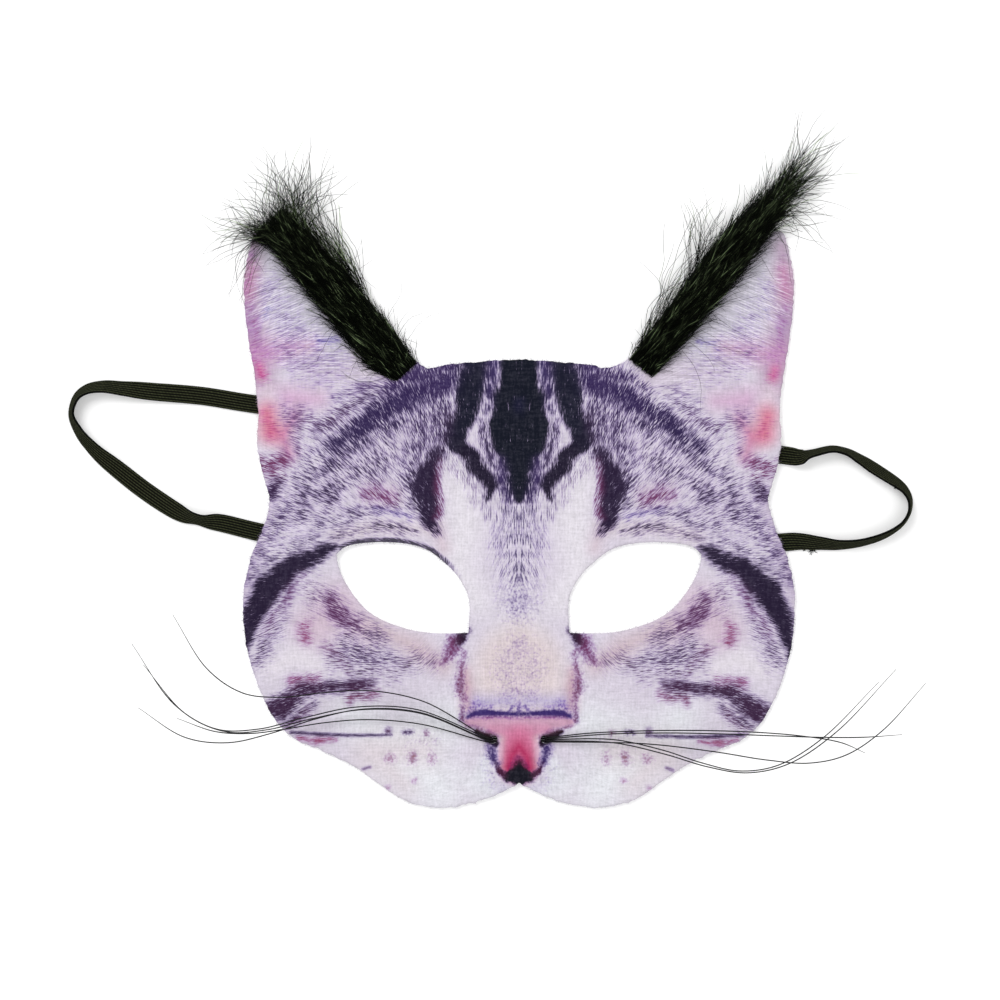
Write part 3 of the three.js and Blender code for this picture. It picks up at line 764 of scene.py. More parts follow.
# Ground patches: name, colour, strength, softness, rows
GROUNDS = [
    ("brow", (226, 221, 229), 0.95, 12, [(20, 40, 8), (18, 22, 12), (20, 8, 10), (14, -4, 8)]),
    ("bridge top", (214, 206, 221), 0.8, 12, [(0, 40, 8), (0, 8, 8)]),
    ("bridge", (219, 213, 222), 0.8, 12, [(0, 0, 12), (0, -14, 18)]),
    ("bridge low", (219, 205, 207), 0.95, 10, [(0, -20, 18), (0, -27, 30), (0, -36, 30)]),
    ("temple", (210, 200, 217), 0.9, 20, [(34, 52, 12), (56, 38, 16), (70, 30, 12)]),
    ("brown glow", (196, 170, 192), 0.6, 8, [(42, 31, 6), (49, 32, 6)]),
    ("lid", (216, 205, 214), 0.9, 6, [(30, 20, 4), (46, 21, 5), (60, 18, 4)]),
    ("lid corner", (206, 184, 196), 0.8, 8, [(27, 21, 3), (25, 14, 3)]),
    ("side edge", (190, 172, 200), 0.8, 14, [(86, 30, 8), (92, 12, 8), (92, 0, 4)]),
    ("ear", (200, 196, 209), 0.95, 14, [(58, 82, 14), (74, 98, 18), (84, 112, 6)]),
    ("ear low", (203, 191, 207), 0.9, 12, [(42, 70, 6), (56, 72, 10), (68, 73, 8)]),
    ("ear edge", (176, 140, 170), 0.9, 10, [(88, 114, 3), (90, 96, 8), (88, 82, 9), (85, 68, 8)]),
    ("ear rosy", (196, 148, 186), 0.95, 11, [(68, 81, 2), (76, 80, 5), (86, 78, 8)]),
    ("ear violet edge", (176, 156, 198), 0.35, 8, [(89, 92, 4), (88, 86, 4)]),
    ("ear pink", (204, 128, 172), 0.66, 8, [(88.6, 106, 3), (89.4, 99, 3)]),
    ("ear spot", (216, 92, 146), 0.7, 5, [(85.6, 73.4, 2), (85, 71, 2.5)]),
    ("ear root", (205, 160, 196), 0.8, 10, [(66, 63, 4), (76, 63, 8)]),
    ("ear foot", (222, 205, 218), 0.8, 7, [(84, 66, 5), (83, 63, 4)]),
    ("side rosy", (196, 118, 162), 0.85, 8, [(74, 57, 2), (78, 51, 5), (76, 45, 3)]),
    ("salmon", (212, 112, 138), 0.9, 8, [(83.2, 58.2, 6.4), (82, 52.4, 7.4)]),
    ("cheek", (207, 186, 202), 0.95, 14, [(50, -14, 8), (60, -6, 16), (67, -12, 14)]),
    ("under eye", (206, 185, 193), 0.9, 9, [(25, -25, 5), (34, -19, 7), (50, -11, 3)]),
    ("cheek white", (224, 217, 226), 0.95, 8, [(66, -25, 5), (74, -22, 7), (82, -26, 5)]),
    ("muzzle", (229, 230, 236), 1.0, 18,
     [(24, -44, 12), (38, -54, 22), (26, -66, 14), (54, -42, 10), (14, -66, 4)]),
    ("muzzle rosy", (218, 206, 213), 0.8, 14, [(32, -53, 10), (48, -54, 12), (38, -64, 6)]),
    ("chin", (212, 211, 228), 0.7, 8, [(0, -67, 3), (6, -66, 3)]),
    ("bridge blush", (192, 142, 152), 0.8, 7, [(17.6, -27, 1.5), (17.2, -33, 3), (16.6, -38.5, 4)]),
    ("muzzle inner", (223, 223, 231), 0.95, 5, [(11.4, -57, 4), (13, -63, 6), (9.6, -66.6, 3)]),
    ("nose glow", (180, 172, 208), 0.9, 8, [(2, -36.6, 3), (14, -36.6, 3.6)]),
    ("nose wing", (202, 158, 182), 1.0, 2, [(0, -44, 4.6), (10, -44, 4.6), (17, -43.4, 2.8)]),
    ("nose leather", (200, 142, 170), 1.0, 3, [(0, -46.4, 5.4), (9, -46, 3.4)]),
    ("nose column", (206, 118, 154), 1.0, 5, [(0, -51, 11.4), (0, -58, 11.4)]),
    ("nose hot", (172, 28, 84), 1.0, 6.4, [(0, -51.6, 3.4), (2.4, -54.6, 3.4), (3.2, -58.6, 4.4)]),
    ("nose rim", (214, 164, 190), 0.7, 1.8, [(6, -51, 0.8), (6.2, -56, 1.2)]),
]

# Marks: name, colour, cover, softness, grain, rows
MARKS = [
    ("forehead block", (23, 26, 38), 1.75, 5.4, 2.9,
     [(0, 78, 13.2), (0, 72, 12.4), (0, 67.6, 10.6), (0, 64, 12), (0, 61, 17.4), (0, 56, 19.8),
      (0, 50.6, 17.6), (0, 46.6, 11), (0, 39.6, 9.6), (0, 35, 8), (0, 31, 3)]),
    ("block blue", (40, 38, 78), 1.0, 5, 2.0, [(0, 62, 4), (0, 60, 5)]),
    ("block corner", (54, 46, 96), 0.9, 4, 2.6, [(7.6, 76, 2), (7, 70.6, 1.6)]),
    ("block wisps", (62, 48, 92), 1.1, 6, 3.2, [(5.8, 43, 4), (5.8, 37, 4.6), (3, 30.4, 4.4)]),
    ("channel", (59, 47, 89), 0.95, 6.5, 3.4, [(9.6, 77, 6), (9.4, 68, 6), (8.8, 64, 4.4)]),
    ("channel middle", (62, 50, 92), 0.7, 7, 3.6, [(9.6, 62, 4), (11.6, 58.4, 4)]),
    ("channel low", (66, 54, 86), 0.84, 6.5, 3.6, [(12.6, 56, 3), (10, 47, 4), (8.6, 41, 4)]),
    ("forehead band", (28, 29, 45), 1.5, 5.4, 2.9,
     [(15.7, 78, 10.2), (15.6, 72, 9.8), (15.7, 66, 8.6), (17.6, 59, 7.4), (20.2, 52.6, 6.8),
      (20.8, 48.8, 6)]),
    ("diagonal", (34, 28, 47), 1.5, 5, 2.8,
     [(20.4, 48.4, 5.4), (15.6, 43.4, 5.2), (11.6, 37.8, 5), (9, 33.8, 4), (9.6, 30.6, 1.6)]),
    ("crown", (54, 40, 84), 1.15, 11, 3.4, [(21.4, 76, 7), (24, 68, 9), (32, 64.4, 9), (39, 61.4, 8)]),
    ("crown edge", (62, 47, 90), 1.05, 10, 3.4, [(22, 75, 8), (31, 72, 10), (38, 69.6, 9), (44, 66, 6)]),
    ("crown strokes", (62, 48, 84), 0.84, 12, 3.7, [(26, 62, 8), (26.4, 54, 8), (25.6, 47, 5)]),
    ("crown foot", (50, 36, 62), 1.35, 6.5, 3.1,
     [(22.8, 58, 3), (23.4, 52, 3), (24.8, 47, 3.6), (27, 43.6, 3)]),
    ("inner temple", (64, 50, 86), 0.64, 11, 3.7, [(33, 58, 8), (33.4, 48, 9)]),
    ("temple notch", (68, 54, 88), 0.6, 11, 3.7, [(35, 43, 7), (37, 34, 7)]),
    ("brow speckle", (94, 77, 102), 0.24, 9, 3.4, [(23.4, 44, 3), (17, 37, 4), (14, 30, 3)]),
    ("brow mark", (42, 31, 56), 1.34, 6, 3.0,
     [(27.4, 45.4, 3.4), (29.6, 40, 7), (31.4, 34.6, 9.2), (31, 29, 8.2), (29, 23.6, 5.4),
      (26.6, 18.6, 1.8)]),
    ("brow feather", (67, 54, 82), 0.46, 9, 3.6, [(34, 40, 4), (35.4, 33, 5), (33, 26, 4)]),
    ("brow fringe", (124, 60, 104), 0.86, 4.6, 2.8, [(25.9, 43, 1.4), (27, 35, 2.6), (26.7, 25, 2.6)]),
    ("bridge strokes", (88, 82, 110), 0.13, 12, 3.6, [(0, 36, 20), (0, 22, 18), (0, 8, 15), (0, -5, 10)]),
    ("bridge spine", (71, 62, 92), 0.06, 7, 3.4, [(0, 30, 6), (0, 20, 3), (0, 6, 4)]),
    ("bridge sides", (77, 67, 94), 0.26, 6, 3.6, [(10.6, 31, 4), (9.6, 24, 3)]),
    ("bridge freckles", (136, 112, 124), 0.02, 12, 2.8, [(0, -24, 16), (0, -34, 14)]),
    ("arc band", (50, 38, 78), 1.2, 11, 3.6,
     [(36, 64, 10), (42, 60.6, 10), (49, 55.8, 9), (55.6, 51, 7), (61.6, 46.6, 5)]),
    ("arc under", (59, 47, 80), 0.84, 12, 3.6, [(39, 56, 7), (50, 50.2, 6), (59, 44.6, 7), (65, 39.6, 4)]),
    ("arc over", (72, 52, 86), 0.74, 12, 3.6, [(47, 65.6, 5), (57, 59.6, 6), (66, 53, 5)]),
    ("temple strokes", (69, 57, 86), 0.4, 16, 3.8, [(43, 45, 12), (53, 39, 13)]),
    ("temple outer", (66, 52, 82), 0.5, 11, 3.7, [(59, 43, 7), (61, 36, 9), (62, 28, 7)]),
    ("temple far", (72, 59, 89), 0.4, 14, 3.7, [(67, 44, 7), (71, 34, 10), (72, 26, 9)]),
    ("temple low", (72, 60, 89), 0.4, 10, 3.7, [(37, 29, 7), (46, 27, 6), (56, 24, 7), (66, 22, 7)]),
    ("temple side", (71, 55, 91), 0.5, 11, 3.6, [(76, 28, 7), (81, 20, 8), (87, 14, 7), (90, 5, 6)]),
    ("outer specks", (54, 42, 72), 0.8, 7, 3.0, [(62.4, 33, 3), (66, 30, 4), (70, 33, 3)]),
    ("inner specks", (66, 54, 90), 0.8, 7, 3.0, [(37, 47, 3), (38, 41, 3.4)]),
    ("brown spot", (114, 62, 102), 0.68, 7, 3.8, [(42.6, 30.4, 6), (47.6, 31.8, 6)]),
    ("brown dot", (120, 72, 112), 0.5, 6, 3.2, [(50.8, 32.4, 3)]),
    ("blue shade", (92, 82, 138), 0.66, 6, 3.2, [(35.6, 24, 1.6), (41, 25.2, 2.4), (47, 26.6, 1.6)]),
    ("lid dashes", (69, 60, 79), 0.5, 5, 3.6, [(33, 19.6, 2), (45, 21, 3), (54, 20, 3), (61, 17.6, 3)]),
    ("side magenta", (108, 50, 91), 0.7, 7.6, 3.4, [(77, 43.4, 5), (84, 41.4, 6), (80, 38, 5)]),
    ("side dark", (58, 40, 72), 1.2, 6.4, 3.2, [(79.4, 35.4, 4.4), (81.4, 32, 5)]),
    ("ear violet", (98, 90, 158), 0.76, 4.6, 2.6, [(60, 82.4, 1.2), (66, 82, 2.4)]),
    ("ear blue", (124, 132, 168), 0.6, 4.6, 2.6, [(83, 93, 1.6), (84, 90, 1.6)]),
    ("ear strokes", (138, 124, 158), 0.2, 14, 3.0, [(60, 74, 9), (76, 86, 13), (84, 100, 9)]),
    ("ear foot strokes", (80, 54, 108), 0.7, 7, 3.4, [(44, 69, 2), (53, 66.4, 3), (60, 63, 3)]),
    ("ear low strokes", (132, 110, 146), 0.2, 12, 3.0, [(60, 70, 6), (72, 74, 10), (80, 82, 6)]),
    ("ear edge strokes", (160, 104, 148), 0.14, 8, 3.2,
     [(88, 111, 3), (89, 96, 6), (87.4, 84, 7), (85, 71, 6)]),
    ("ear spot strokes", (186, 62, 122), 0.36, 6, 3.2, [(86, 74.4, 2), (84.6, 70.6, 3)]),
    ("ear pink strokes", (190, 96, 148), 0.22, 7, 3.2, [(88.4, 107, 3), (89.2, 97, 3.6)]),
    ("ear rosy strokes", (176, 104, 158), 0.14, 9, 3.2, [(70, 81, 3), (85, 77.4, 6)]),
    ("salmon strokes", (190, 88, 122), 0.16, 8, 3.2, [(83, 58.6, 4), (81.6, 52, 5)]),
    ("root strokes", (94, 62, 101), 0.46, 10, 3.5, [(58, 58, 5), (67, 55, 6), (76, 59, 6), (73, 48, 5)]),
    ("eye stripe", (40, 31, 54), 1.5, 6.4, 2.9,
     [(60.6, 13.8, 2), (64, 12.8, 3.8), (68.5, 11, 5.4), (75, 7.6, 7), (79.8, 3.4, 8), (84.4, -1.6, 8.8),
      (87.4, -7, 7.6), (89.4, -13, 5), (90.4, -18.5, 2.4), (90.6, -22.4, 1)]),
    ("stripe fringe", (98, 56, 100), 0.8, 8, 3.2,
     [(70.6, 5, 2), (75.4, 0.8, 3.4), (79, -6, 3.4), (83.6, -13, 3)]),
    ("stripe feather", (67, 54, 86), 0.4, 8, 3.5, [(66, 17, 3), (74, 14.6, 4), (82, 10, 5), (88, 4, 5)]),
    ("eye side", (94, 71, 94), 0.2, 12, 3.4, [(70, 3, 6), (67, -4, 8)]),
    ("smudge", (92, 54, 92), 0.9, 8, 3.3, [(62.6, -1, 2.4), (61.4, -5, 6), (58, -9.8, 6), (54, -11.6, 4)]),
    ("red spot", (134, 56, 94), 0.74, 8, 2.9, [(71.4, -12, 3), (70.2, -16, 3)]),
    ("cheek strokes", (76, 59, 87), 0.4, 11, 3.6, [(46, -16.4, 6), (54, -12, 8), (58, -17, 7)]),
    ("cheek middle", (72, 55, 86), 0.5, 10, 3.6, [(41, -22.6, 5), (50, -21.6, 8), (58, -21.6, 7)]),
    ("cheek low", (82, 60, 87), 0.5, 9, 3.5, [(44, -26.8, 4), (54, -26.4, 5), (62, -24, 4)]),
    ("cheek rosy", (109, 64, 92), 0.5, 9, 3.3, [(63, -19, 4), (57, -25.4, 3)]),
    ("cheek inner", (97, 79, 99), 0.42, 11, 3.5, [(28, -24, 4), (36, -22.6, 7), (42, -29, 5)]),
    ("cheek edge", (77, 60, 89), 0.34, 10, 3.5, [(78, -9, 5), (83, -15, 7), (87, -24, 6)]),
    ("low blotch", (68, 40, 72), 1.2, 6, 3.0, [(49.4, -31, 3.6), (55, -31.6, 5)]),
    ("low stripe", (62, 39, 68), 1.2, 6.4, 3.2,
     [(54, -32.4, 4.2), (61, -32, 4.2), (67, -31.6, 4.8), (71.6, -33.4, 5.8), (76, -36.6, 7),
      (81, -40, 7)]),
    ("low magenta", (136, 60, 104), 0.8, 6, 3.0, [(66, -28.6, 2.2), (75, -30.4, 3)]),
    ("low fan", (56, 38, 68), 0.9, 6.4, 3.2, [(68, -38.6, 2.6), (75.6, -43.4, 4.6)]),
    ("low rosy", (120, 58, 90), 0.8, 6.4, 3.1, [(48, -34, 3), (55, -35.4, 4)]),
    ("low plum", (104, 54, 86), 0.7, 6.4, 3.2, [(70, -40, 3), (75, -45, 3)]),
    ("mouth line", (60, 48, 78), 1.0, 1.7, 1.4,
     [(75.2, -47, 1.2), (66, -47.7, 1.4), (59, -47.9, 1.1), (50, -48, 1), (42.4, -47.9, 0.8)]),
    ("mouth red", (146, 70, 104), 0.88, 3.4, 2.4, [(60.4, -49.4, 1), (67.3, -49.8, 2.6), (73, -48.8, 1.2)]),
    ("whisker dot 1", (84, 54, 86), 0.95, 3.4, 1.8, [(43.2, -46.6, 2.1)]),
    ("whisker dot 2", (60, 40, 78), 1.05, 3.2, 1.8, [(37.4, -46.9, 1.6), (35.6, -46.9, 1.4)]),
    ("whisker dot 3", (116, 62, 84), 0.9, 3.4, 1.8, [(30.7, -47.1, 1.7)]),
    ("whisker dot 4", (150, 108, 118), 0.62, 5, 2.0, [(42.6, -55.4, 2.4)]),
    ("whisker dot 5", (146, 104, 114), 0.7, 5, 2.0, [(35.3, -55.2, 3)]),
    ("whisker dot 6", (158, 118, 128), 0.56, 5, 2.0, [(28.6, -55.2, 2.4)]),
    ("whisker dot 7", (164, 126, 140), 0.7, 3.4, 1.6, [(43.2, -65.2, 1.2)]),
    ("whisker dot 8", (168, 132, 146), 0.7, 3.4, 1.6, [(34.6, -62.9, 1.4)]),
    ("muzzle tick", (110, 92, 116), 0.9, 1.8, 1.0, [(49.2, -58.4, 0.9), (51.6, -59.2, 0.9)]),
    ("muzzle blush", (176, 138, 150), 0.0, 6, 2.4, [(27, -49.4, 2), (38, -51, 2)]),
    ("eye corner", (40, 26, 46), 1.45, 4.6, 1.6,
     [(16.8, -13.4, 1.6), (18.8, -15.2, 3.8), (19.8, -17.4, 2.6)]),
    ("corner streak", (110, 54, 98), 1.0, 6.4, 2.2,
     [(21, -15.8, 4), (21.6, -19, 4.4), (23.6, -22, 2.6), (26.4, -24.6, 1)]),
    ("bridge side", (114, 64, 96), 0.8, 5, 2.8,
     [(18.9, -21, 1.6), (19.2, -26, 1.8), (19.4, -31, 3), (18.4, -36, 2)]),
    ("wing corner", (112, 68, 104), 0.9, 3, 1.8, [(18.6, -38.4, 1.6), (18.8, -43, 1.8)]),
    ("nose line", (58, 42, 104), 1.6, 2.8, 1.2,
     [(0, -40.9, 1), (6.6, -40.7, 1.4), (11.5, -40.4, 2), (14.4, -40.7, 1.8), (17, -41.8, 1)]),
    ("nose line under", (138, 68, 126), 0.8, 2.4, 1.4,
     [(0, -42.1, 0.6), (8, -41.9, 0.8), (15.4, -42, 0.8)]),
    ("nose tuft", (80, 62, 126), 1.0, 2.2, 1.6, [(0, -37.6, 1), (0, -40, 1.4)]),
    ("nose tuft side", (88, 70, 134), 0.9, 2.4, 1.6, [(1.8, -38.2, 0.8), (3.4, -40.2, 1.2)]),
    ("nose shade", (104, 84, 146), 0.66, 5.4, 2.8, [(9, -38.8, 1.2), (14.6, -37.8, 2.2), (17.4, -40, 1.6)]),
    ("nostril", (36, 22, 34), 1.3, 2, 1.0, [(14, -46.5, 1.6), (10.6, -48.6, 2.8), (7.8, -50.6, 2.4)]),
    ("nostril shade", (136, 88, 112), 0.8, 3, 1.6, [(17, -44.8, 1), (11, -46.6, 1.4), (7, -48.6, 1.2)]),
    ("nose outline", (64, 50, 104), 1.25, 5, 1.8, [(9.4, -51, 2.4), (9, -54.6, 2.2), (8, -57.6, 2)]),
    ("nose rim dark", (70, 30, 58), 1.1, 2.2, 1.5, [(7.8, -57, 1.2), (6.6, -59.6, 2), (4.6, -61.2, 2.4)]),
    ("nose tip", (26, 26, 36), 1.35, 2.8, 1.8,
     [(0, -57.2, 2.2), (0, -59.2, 4.4), (0, -61, 7), (3.4, -61.6, 3.6)]),
    ("nose shadow", (120, 36, 76), 0.8, 2.8, 1.3, [(0, -55.9, 2.6), (2.6, -58.4, 1.4)]),
    ("chin shade", (118, 104, 164), 0.1, 9, 2.8, [(5, -64.4, 1.2), (9.6, -62, 2), (10.6, -57, 1.4)]),
]

# A grey line along the upper lid of the left eye only: its colour, cover and grain, how far
# it reaches from the cut, how soft it is there, how far above the line between the eye's
# corners it starts, and where it fades out along x.
LID_LINE = ((70, 66, 80), 0.9, 2.2)
LID_LINE_WIDTH = 1.5
LID_LINE_SOFTNESS = 1.4
LID_LINE_START = (0, 3)
LID_LINE_END = (-26, -17)

# Lighter flecks in the dark marks, through rows of [x, y, width], and what they take away.
FLECK_COVER = 0.8
FLECK_SOFTNESS = 1.2
FLECKS = [
    [(3.4, 61.4, 1.1), (3.5, 59.6, 0.7)], [(0.3, 61.2, 0.6), (0.3, 60.2, 0.5)],
    [(4.3, 54.8, 1.3), (4.2, 53, 0.8)], [(0, 50.8, 1.2), (0.8, 49.2, 0.7)],
]

# The way the coat lies: [x, y, angle in degrees from X] on the right side. A comb counts for
# less and less beyond its reach.
COMB_REACH = 5
COMBS = [
    (0, 72, 90), (10, 62, 88), (22, 62, 84), (15, 32, 88), (0, 14, 90), (0, -20, 90), (12, -30, 88),
    (30, 60, 74), (40, 60, 62), (50, 50, 56), (60, 45, 44), (70, 40, 28), (80, 36, 12), (27, 50, 82),
    (45, 38, 52), (55, 32, 38), (62, 25, 24), (75, 22, 12), (86, 14, 6), (30, 32, 62), (38, 24, 26),
    (50, 20, 4), (62, 17, -4), (72, 12, 6), (80, 3, -3), (86, -12, -18), (60, -5, 28), (52, -18, 12),
    (44, -25, 4), (65, -18, 8), (70, -28, -8), (76, -38, -14), (55, -32, 0), (60, -48, -2), (30, -46, 0),
    (36, -60, -10), (20, -66, -30), (24, -20, -50), (0, -40, 90), (10, -40, 88), (9.2, -55, 82),
    (8, 10, 104), (5, 3, 110), (6, -3, 116), (60, 82, -4), (66, 70, -3), (72, 79, -9), (76, 90, -18),
    (84, 92, -28), (70, 98, -20), (84, 106, -12), (76, 62, -4), (52, 68, 6),
]

# Where the marks are speckled rather than hairy, through rows of [x, y, width], and how far.
SPECKLED = [(0, -24, 16), (0, -26, 56), (0, -40, 50), (0, -58, 38), (36, -55, 22)]
SPECKLE = 0.85
SPECKLE_SOFTNESS = 10

# Where light hairs show most, through rows of [x, y, width], and how strong they are elsewhere.
STREAKS = [(56, 72, 14), (72, 84, 22), (84, 100, 18)]
STREAK_SOFTNESS = 14
STREAK_LEAST = 0.2

# The cover and grain where no mark is near, and how much a mark's grain counts. A mark also
# tints its surroundings a little, and far from all marks the faint colour holds.
BARE = -0.35
CALM = 0.4
GRAIN_GAIN = 1.6
AROUND = 6
AROUND_WEIGHT = 0.02
FAINT = ((110, 96, 128), 2.0)
FAINT_WEIGHT = 1e-3

# The right side differs a little: where it starts along x, how far its coat is printed from
# its place, how much thinner its marks are high on the temple, and how much thinner still in
# a patch at the foot of the ear.
RIGHT_FROM = (30, 70)
RIGHT_SHIFT = (1.2, 0.8)
RIGHT_PALE = 0.19
RIGHT_PALE_FROM = (28, 44)
RIGHT_THIN = [(31, 75, 7), (38, 72, 9), (46, 65, 10)]
RIGHT_THIN_COVER = 0.55
RIGHT_THIN_SOFTNESS = 10

# How far the edges of all but the finest strokes wander, as a share of the length of the
# waves they follow.
WANDER = 0.012
WAVES = np.geomspace(4, 18, 14)
FINE_SOFTNESS = 4.0


def stroke(x, y, rows, soft):
    """How far inside a brush stroke each point lies, from 0 to 1."""
    best = np.full(len(x), 1e6)
    if len(rows) == 1:
        rows = [*rows, rows[0]]
    for (x0, y0, wide0), (x1, y1, wide1) in zip(rows, rows[1:]):
        span = max((x1 - x0) ** 2 + (y1 - y0) ** 2, 1e-9)
        share = np.clip(((x - x0) * (x1 - x0) + (y - y0) * (y1 - y0)) / span, 0, 1)
        away = np.hypot(x - x0 - share * (x1 - x0), y - y0 - share * (y1 - y0))
        best = np.minimum(best, away - (wide0 + share * (wide1 - wide0)) / 2)
    return 1 - smoothstep(best, -soft / 2, soft / 2)


def lid_line(plan, loops):
    """How far inside the left eye's lid line each point lies, from 0 to 1."""
    eye = next(loop for loop in loops if loop[:, 0].max() < 0 and np.ptp(loop[:, 0]) > 20)
    outer = eye[eye[:, 0].argmin()]
    inner = eye[eye[:, 1].argmin()]
    chord = outer[1] + (plan[:, 0] - outer[0]) * (inner[1] - outer[1]) / (inner[0] - outer[0])
    away = from_edge(plan, [eye]) - LID_LINE_WIDTH
    near = 1 - smoothstep(away, -LID_LINE_SOFTNESS / 2, LID_LINE_SOFTNESS / 2)
    above = smoothstep(plan[:, 1] - chord, *LID_LINE_START)
    return near * above * (1 - smoothstep(plan[:, 0], *LID_LINE_END))


def wander(x, y):
    """Points moved by a millimetre or so, which gives the strokes uneven edges."""
    waves = np.random.default_rng(5)
    moved = np.array([x, y])
    for length in WAVES:
        angle, *phases = waves.uniform(0, 2 * math.pi, 3)
        along = 2 * math.pi / length * (x * math.cos(angle) + y * math.sin(angle))
        moved += WANDER * length * np.sin(along + np.array(phases)[:, None])
    return moved


def printed_coat(plan, loops):
    """Ground colour, mark colour, cover, grain, streak and flow at each [x, y].

    The flow's third number is how far the marks are speckled rather than hairy.
    """
    right = smoothstep(plan[:, 0], *RIGHT_FROM)
    x = np.abs(plan[:, 0]) + RIGHT_SHIFT[0] * right
    y = plan[:, 1] + RIGHT_SHIFT[1] * right
    uneven = wander(x, y)
    ground = np.tile(linear(GROUND), (len(x), 1))
    for _, colour, strength, soft, rows in GROUNDS:
        share = strength * stroke(x, y, rows, soft)[:, None]
        ground = ground * (1 - share) + linear(colour) * share

    cover = np.full(len(x), BARE)
    tint = np.tile(linear(FAINT[0]) * FAINT_WEIGHT, (len(x), 1))
    weight = np.full(len(x), FAINT_WEIGHT)
    grain = np.full(len(x), FAINT[1]) * FAINT_WEIGHT
    presence = np.zeros(len(x))

    def add_mark(within, around, colour, strength, rough):
        nonlocal cover, tint, weight, grain, presence
        presence = np.maximum(presence, around)
        cover = np.maximum(cover, BARE + (strength - BARE) * within)
        share = strength**2 * (within**2 + AROUND_WEIGHT * around)
        tint = tint + share[:, None] * linear(colour)
        grain = grain + share * rough
        weight = weight + share

    for _, colour, strength, soft, rough, rows in MARKS:
        place = uneven if soft > FINE_SOFTNESS else (x, y)
        around = stroke(*place, rows, soft + AROUND)
        add_mark(stroke(*place, rows, soft), around, colour, strength, rough)
    lid = lid_line(plan, loops)
    add_mark(lid, lid, *LID_LINE)
    for rows in FLECKS:
        cover -= FLECK_COVER * stroke(x, y, rows, FLECK_SOFTNESS)

    cover -= RIGHT_PALE * right * smoothstep(y, *RIGHT_PALE_FROM)
    cover -= RIGHT_THIN_COVER * stroke(*plan.T, RIGHT_THIN, RIGHT_THIN_SOFTNESS)
    streak = STREAK_LEAST + (1 - STREAK_LEAST) * stroke(x, y, STREAKS, STREAK_SOFTNESS)
    turn = np.zeros((len(x), 3))
    for comb_x, comb_y, angle in COMBS:
        near = 1 / ((x - comb_x) ** 2 + (y - comb_y) ** 2 + COMB_REACH**2) ** 2
        double = math.radians(2 * angle)
        turn[:, 0] += near * math.cos(double)
        turn[:, 1] += near * math.sin(double)
    colours = (ground / STUDIO_LIGHT, tint / weight[:, None] / STUDIO_LIGHT)
    grain = CALM + (GRAIN_GAIN * grain / weight - CALM) * presence
    flow = unit(turn)
    flow[:, 2] = SPECKLE * stroke(x, y, SPECKLED, SPECKLE_SOFTNESS)
    return *colours, cover, grain, streak, flow


def dress(made, coat):
    """Stores what printed_coat gives, for each vertex of a piece."""
    names = ("ground", "mark", "cover", "grain", "streak", "flow")
    kinds = ("FLOAT_COLOR", "FLOAT_COLOR", "FLOAT", "FLOAT", "FLOAT", "FLOAT_VECTOR")
    for name, kind, values in zip(names, kinds, coat):
        attribute(made, name, kind, values)


def make_panel():
    """The felt panel: a fine printed front, a plain back, and the cut edge between."""
    front_sheet = CadSheet("face_panel", 1)
    back_sheet = CadSheet("face_panel", -1)
    cad_loops = front_sheet.loops()
    cad_back = back_sheet.loops()
    loops = [smooth_loop(loop, EDGE_STEP) for loop in cad_loops]
    loops[0] = ragged(loops[0])
    back_loops = []
    for loop, cad_loop in zip(loops, cad_loops):
        shifts = [other.mean(axis=0) - cad_loop.mean(axis=0) for other in cad_back]
        shift = min(shifts, key=np.linalg.norm)
        back_loops.append(loop + (shift if np.ptp(loop, axis=0).max() < SLANTING_HOLE else 0))

    plan, triangles = triangulate(loops, lattice(loops, CELL, 0.6))
    height = relax(front_sheet.heights(plan), triangles, SMOOTHING_ROUNDS)
    height -= EDGE_ROUND * np.exp(-((from_edge(plan, loops) / EDGE_STEP) ** 2))
    back_plan, back_triangles = triangulate(back_loops, lattice(back_loops, BACK_CELL, 0.5))
    back_height = back_sheet.heights(back_plan)

    first = len(plan)
    walls = []
    start = 0
    for loop in loops:
        here = start + np.arange(len(loop))
        beside = start + (np.arange(len(loop)) + 1) % len(loop)
        walls.append(np.column_stack([here, here + first, beside + first, beside]))
        start += len(loop)
    faces = triangles.tolist() + (back_triangles[:, ::-1] + first).tolist() + np.vstack(walls).tolist()
    vertices = np.vstack([np.column_stack([plan, height]), np.column_stack([back_plan, back_height])])
    made = mesh_object("felt_panel", vertices, faces)

    coat = printed_coat(plan, loops)
    bare = np.tile(linear(UNPRINTED) / STUDIO_LIGHT, (len(back_plan), 1))
    plain = (bare, bare,
             np.full(len(back_plan), -1.0), np.zeros(len(back_plan)), np.full(len(back_plan), 0.1),
             np.tile([1.0, 0, 0], (len(back_plan), 1)))
    dress(made, [np.concatenate(pair) for pair in zip(coat, plain)])
    return made, front_sheet, loops


# Fibres that stand out of the cut edge: how many to a millimetre, the low and high value of
# their length, width and climb, how far inside the edge they start, the most they turn from
# its normal and the usual bend at each point, in degrees, and how low they start and reach.
FUZZ_DENSITY = 2.4
FUZZ_POINTS = 5
FUZZ_LENGTH = (0.3, 1.2)
FUZZ_WIDTH = (0.04, 0.07)
FUZZ_CLIMB = (-0.4, 0.5)
FUZZ_ROOT = 0.25
FUZZ_TURN = 65
FUZZ_BEND = 22
FUZZ_LOWEST = (0.3, 0.1)


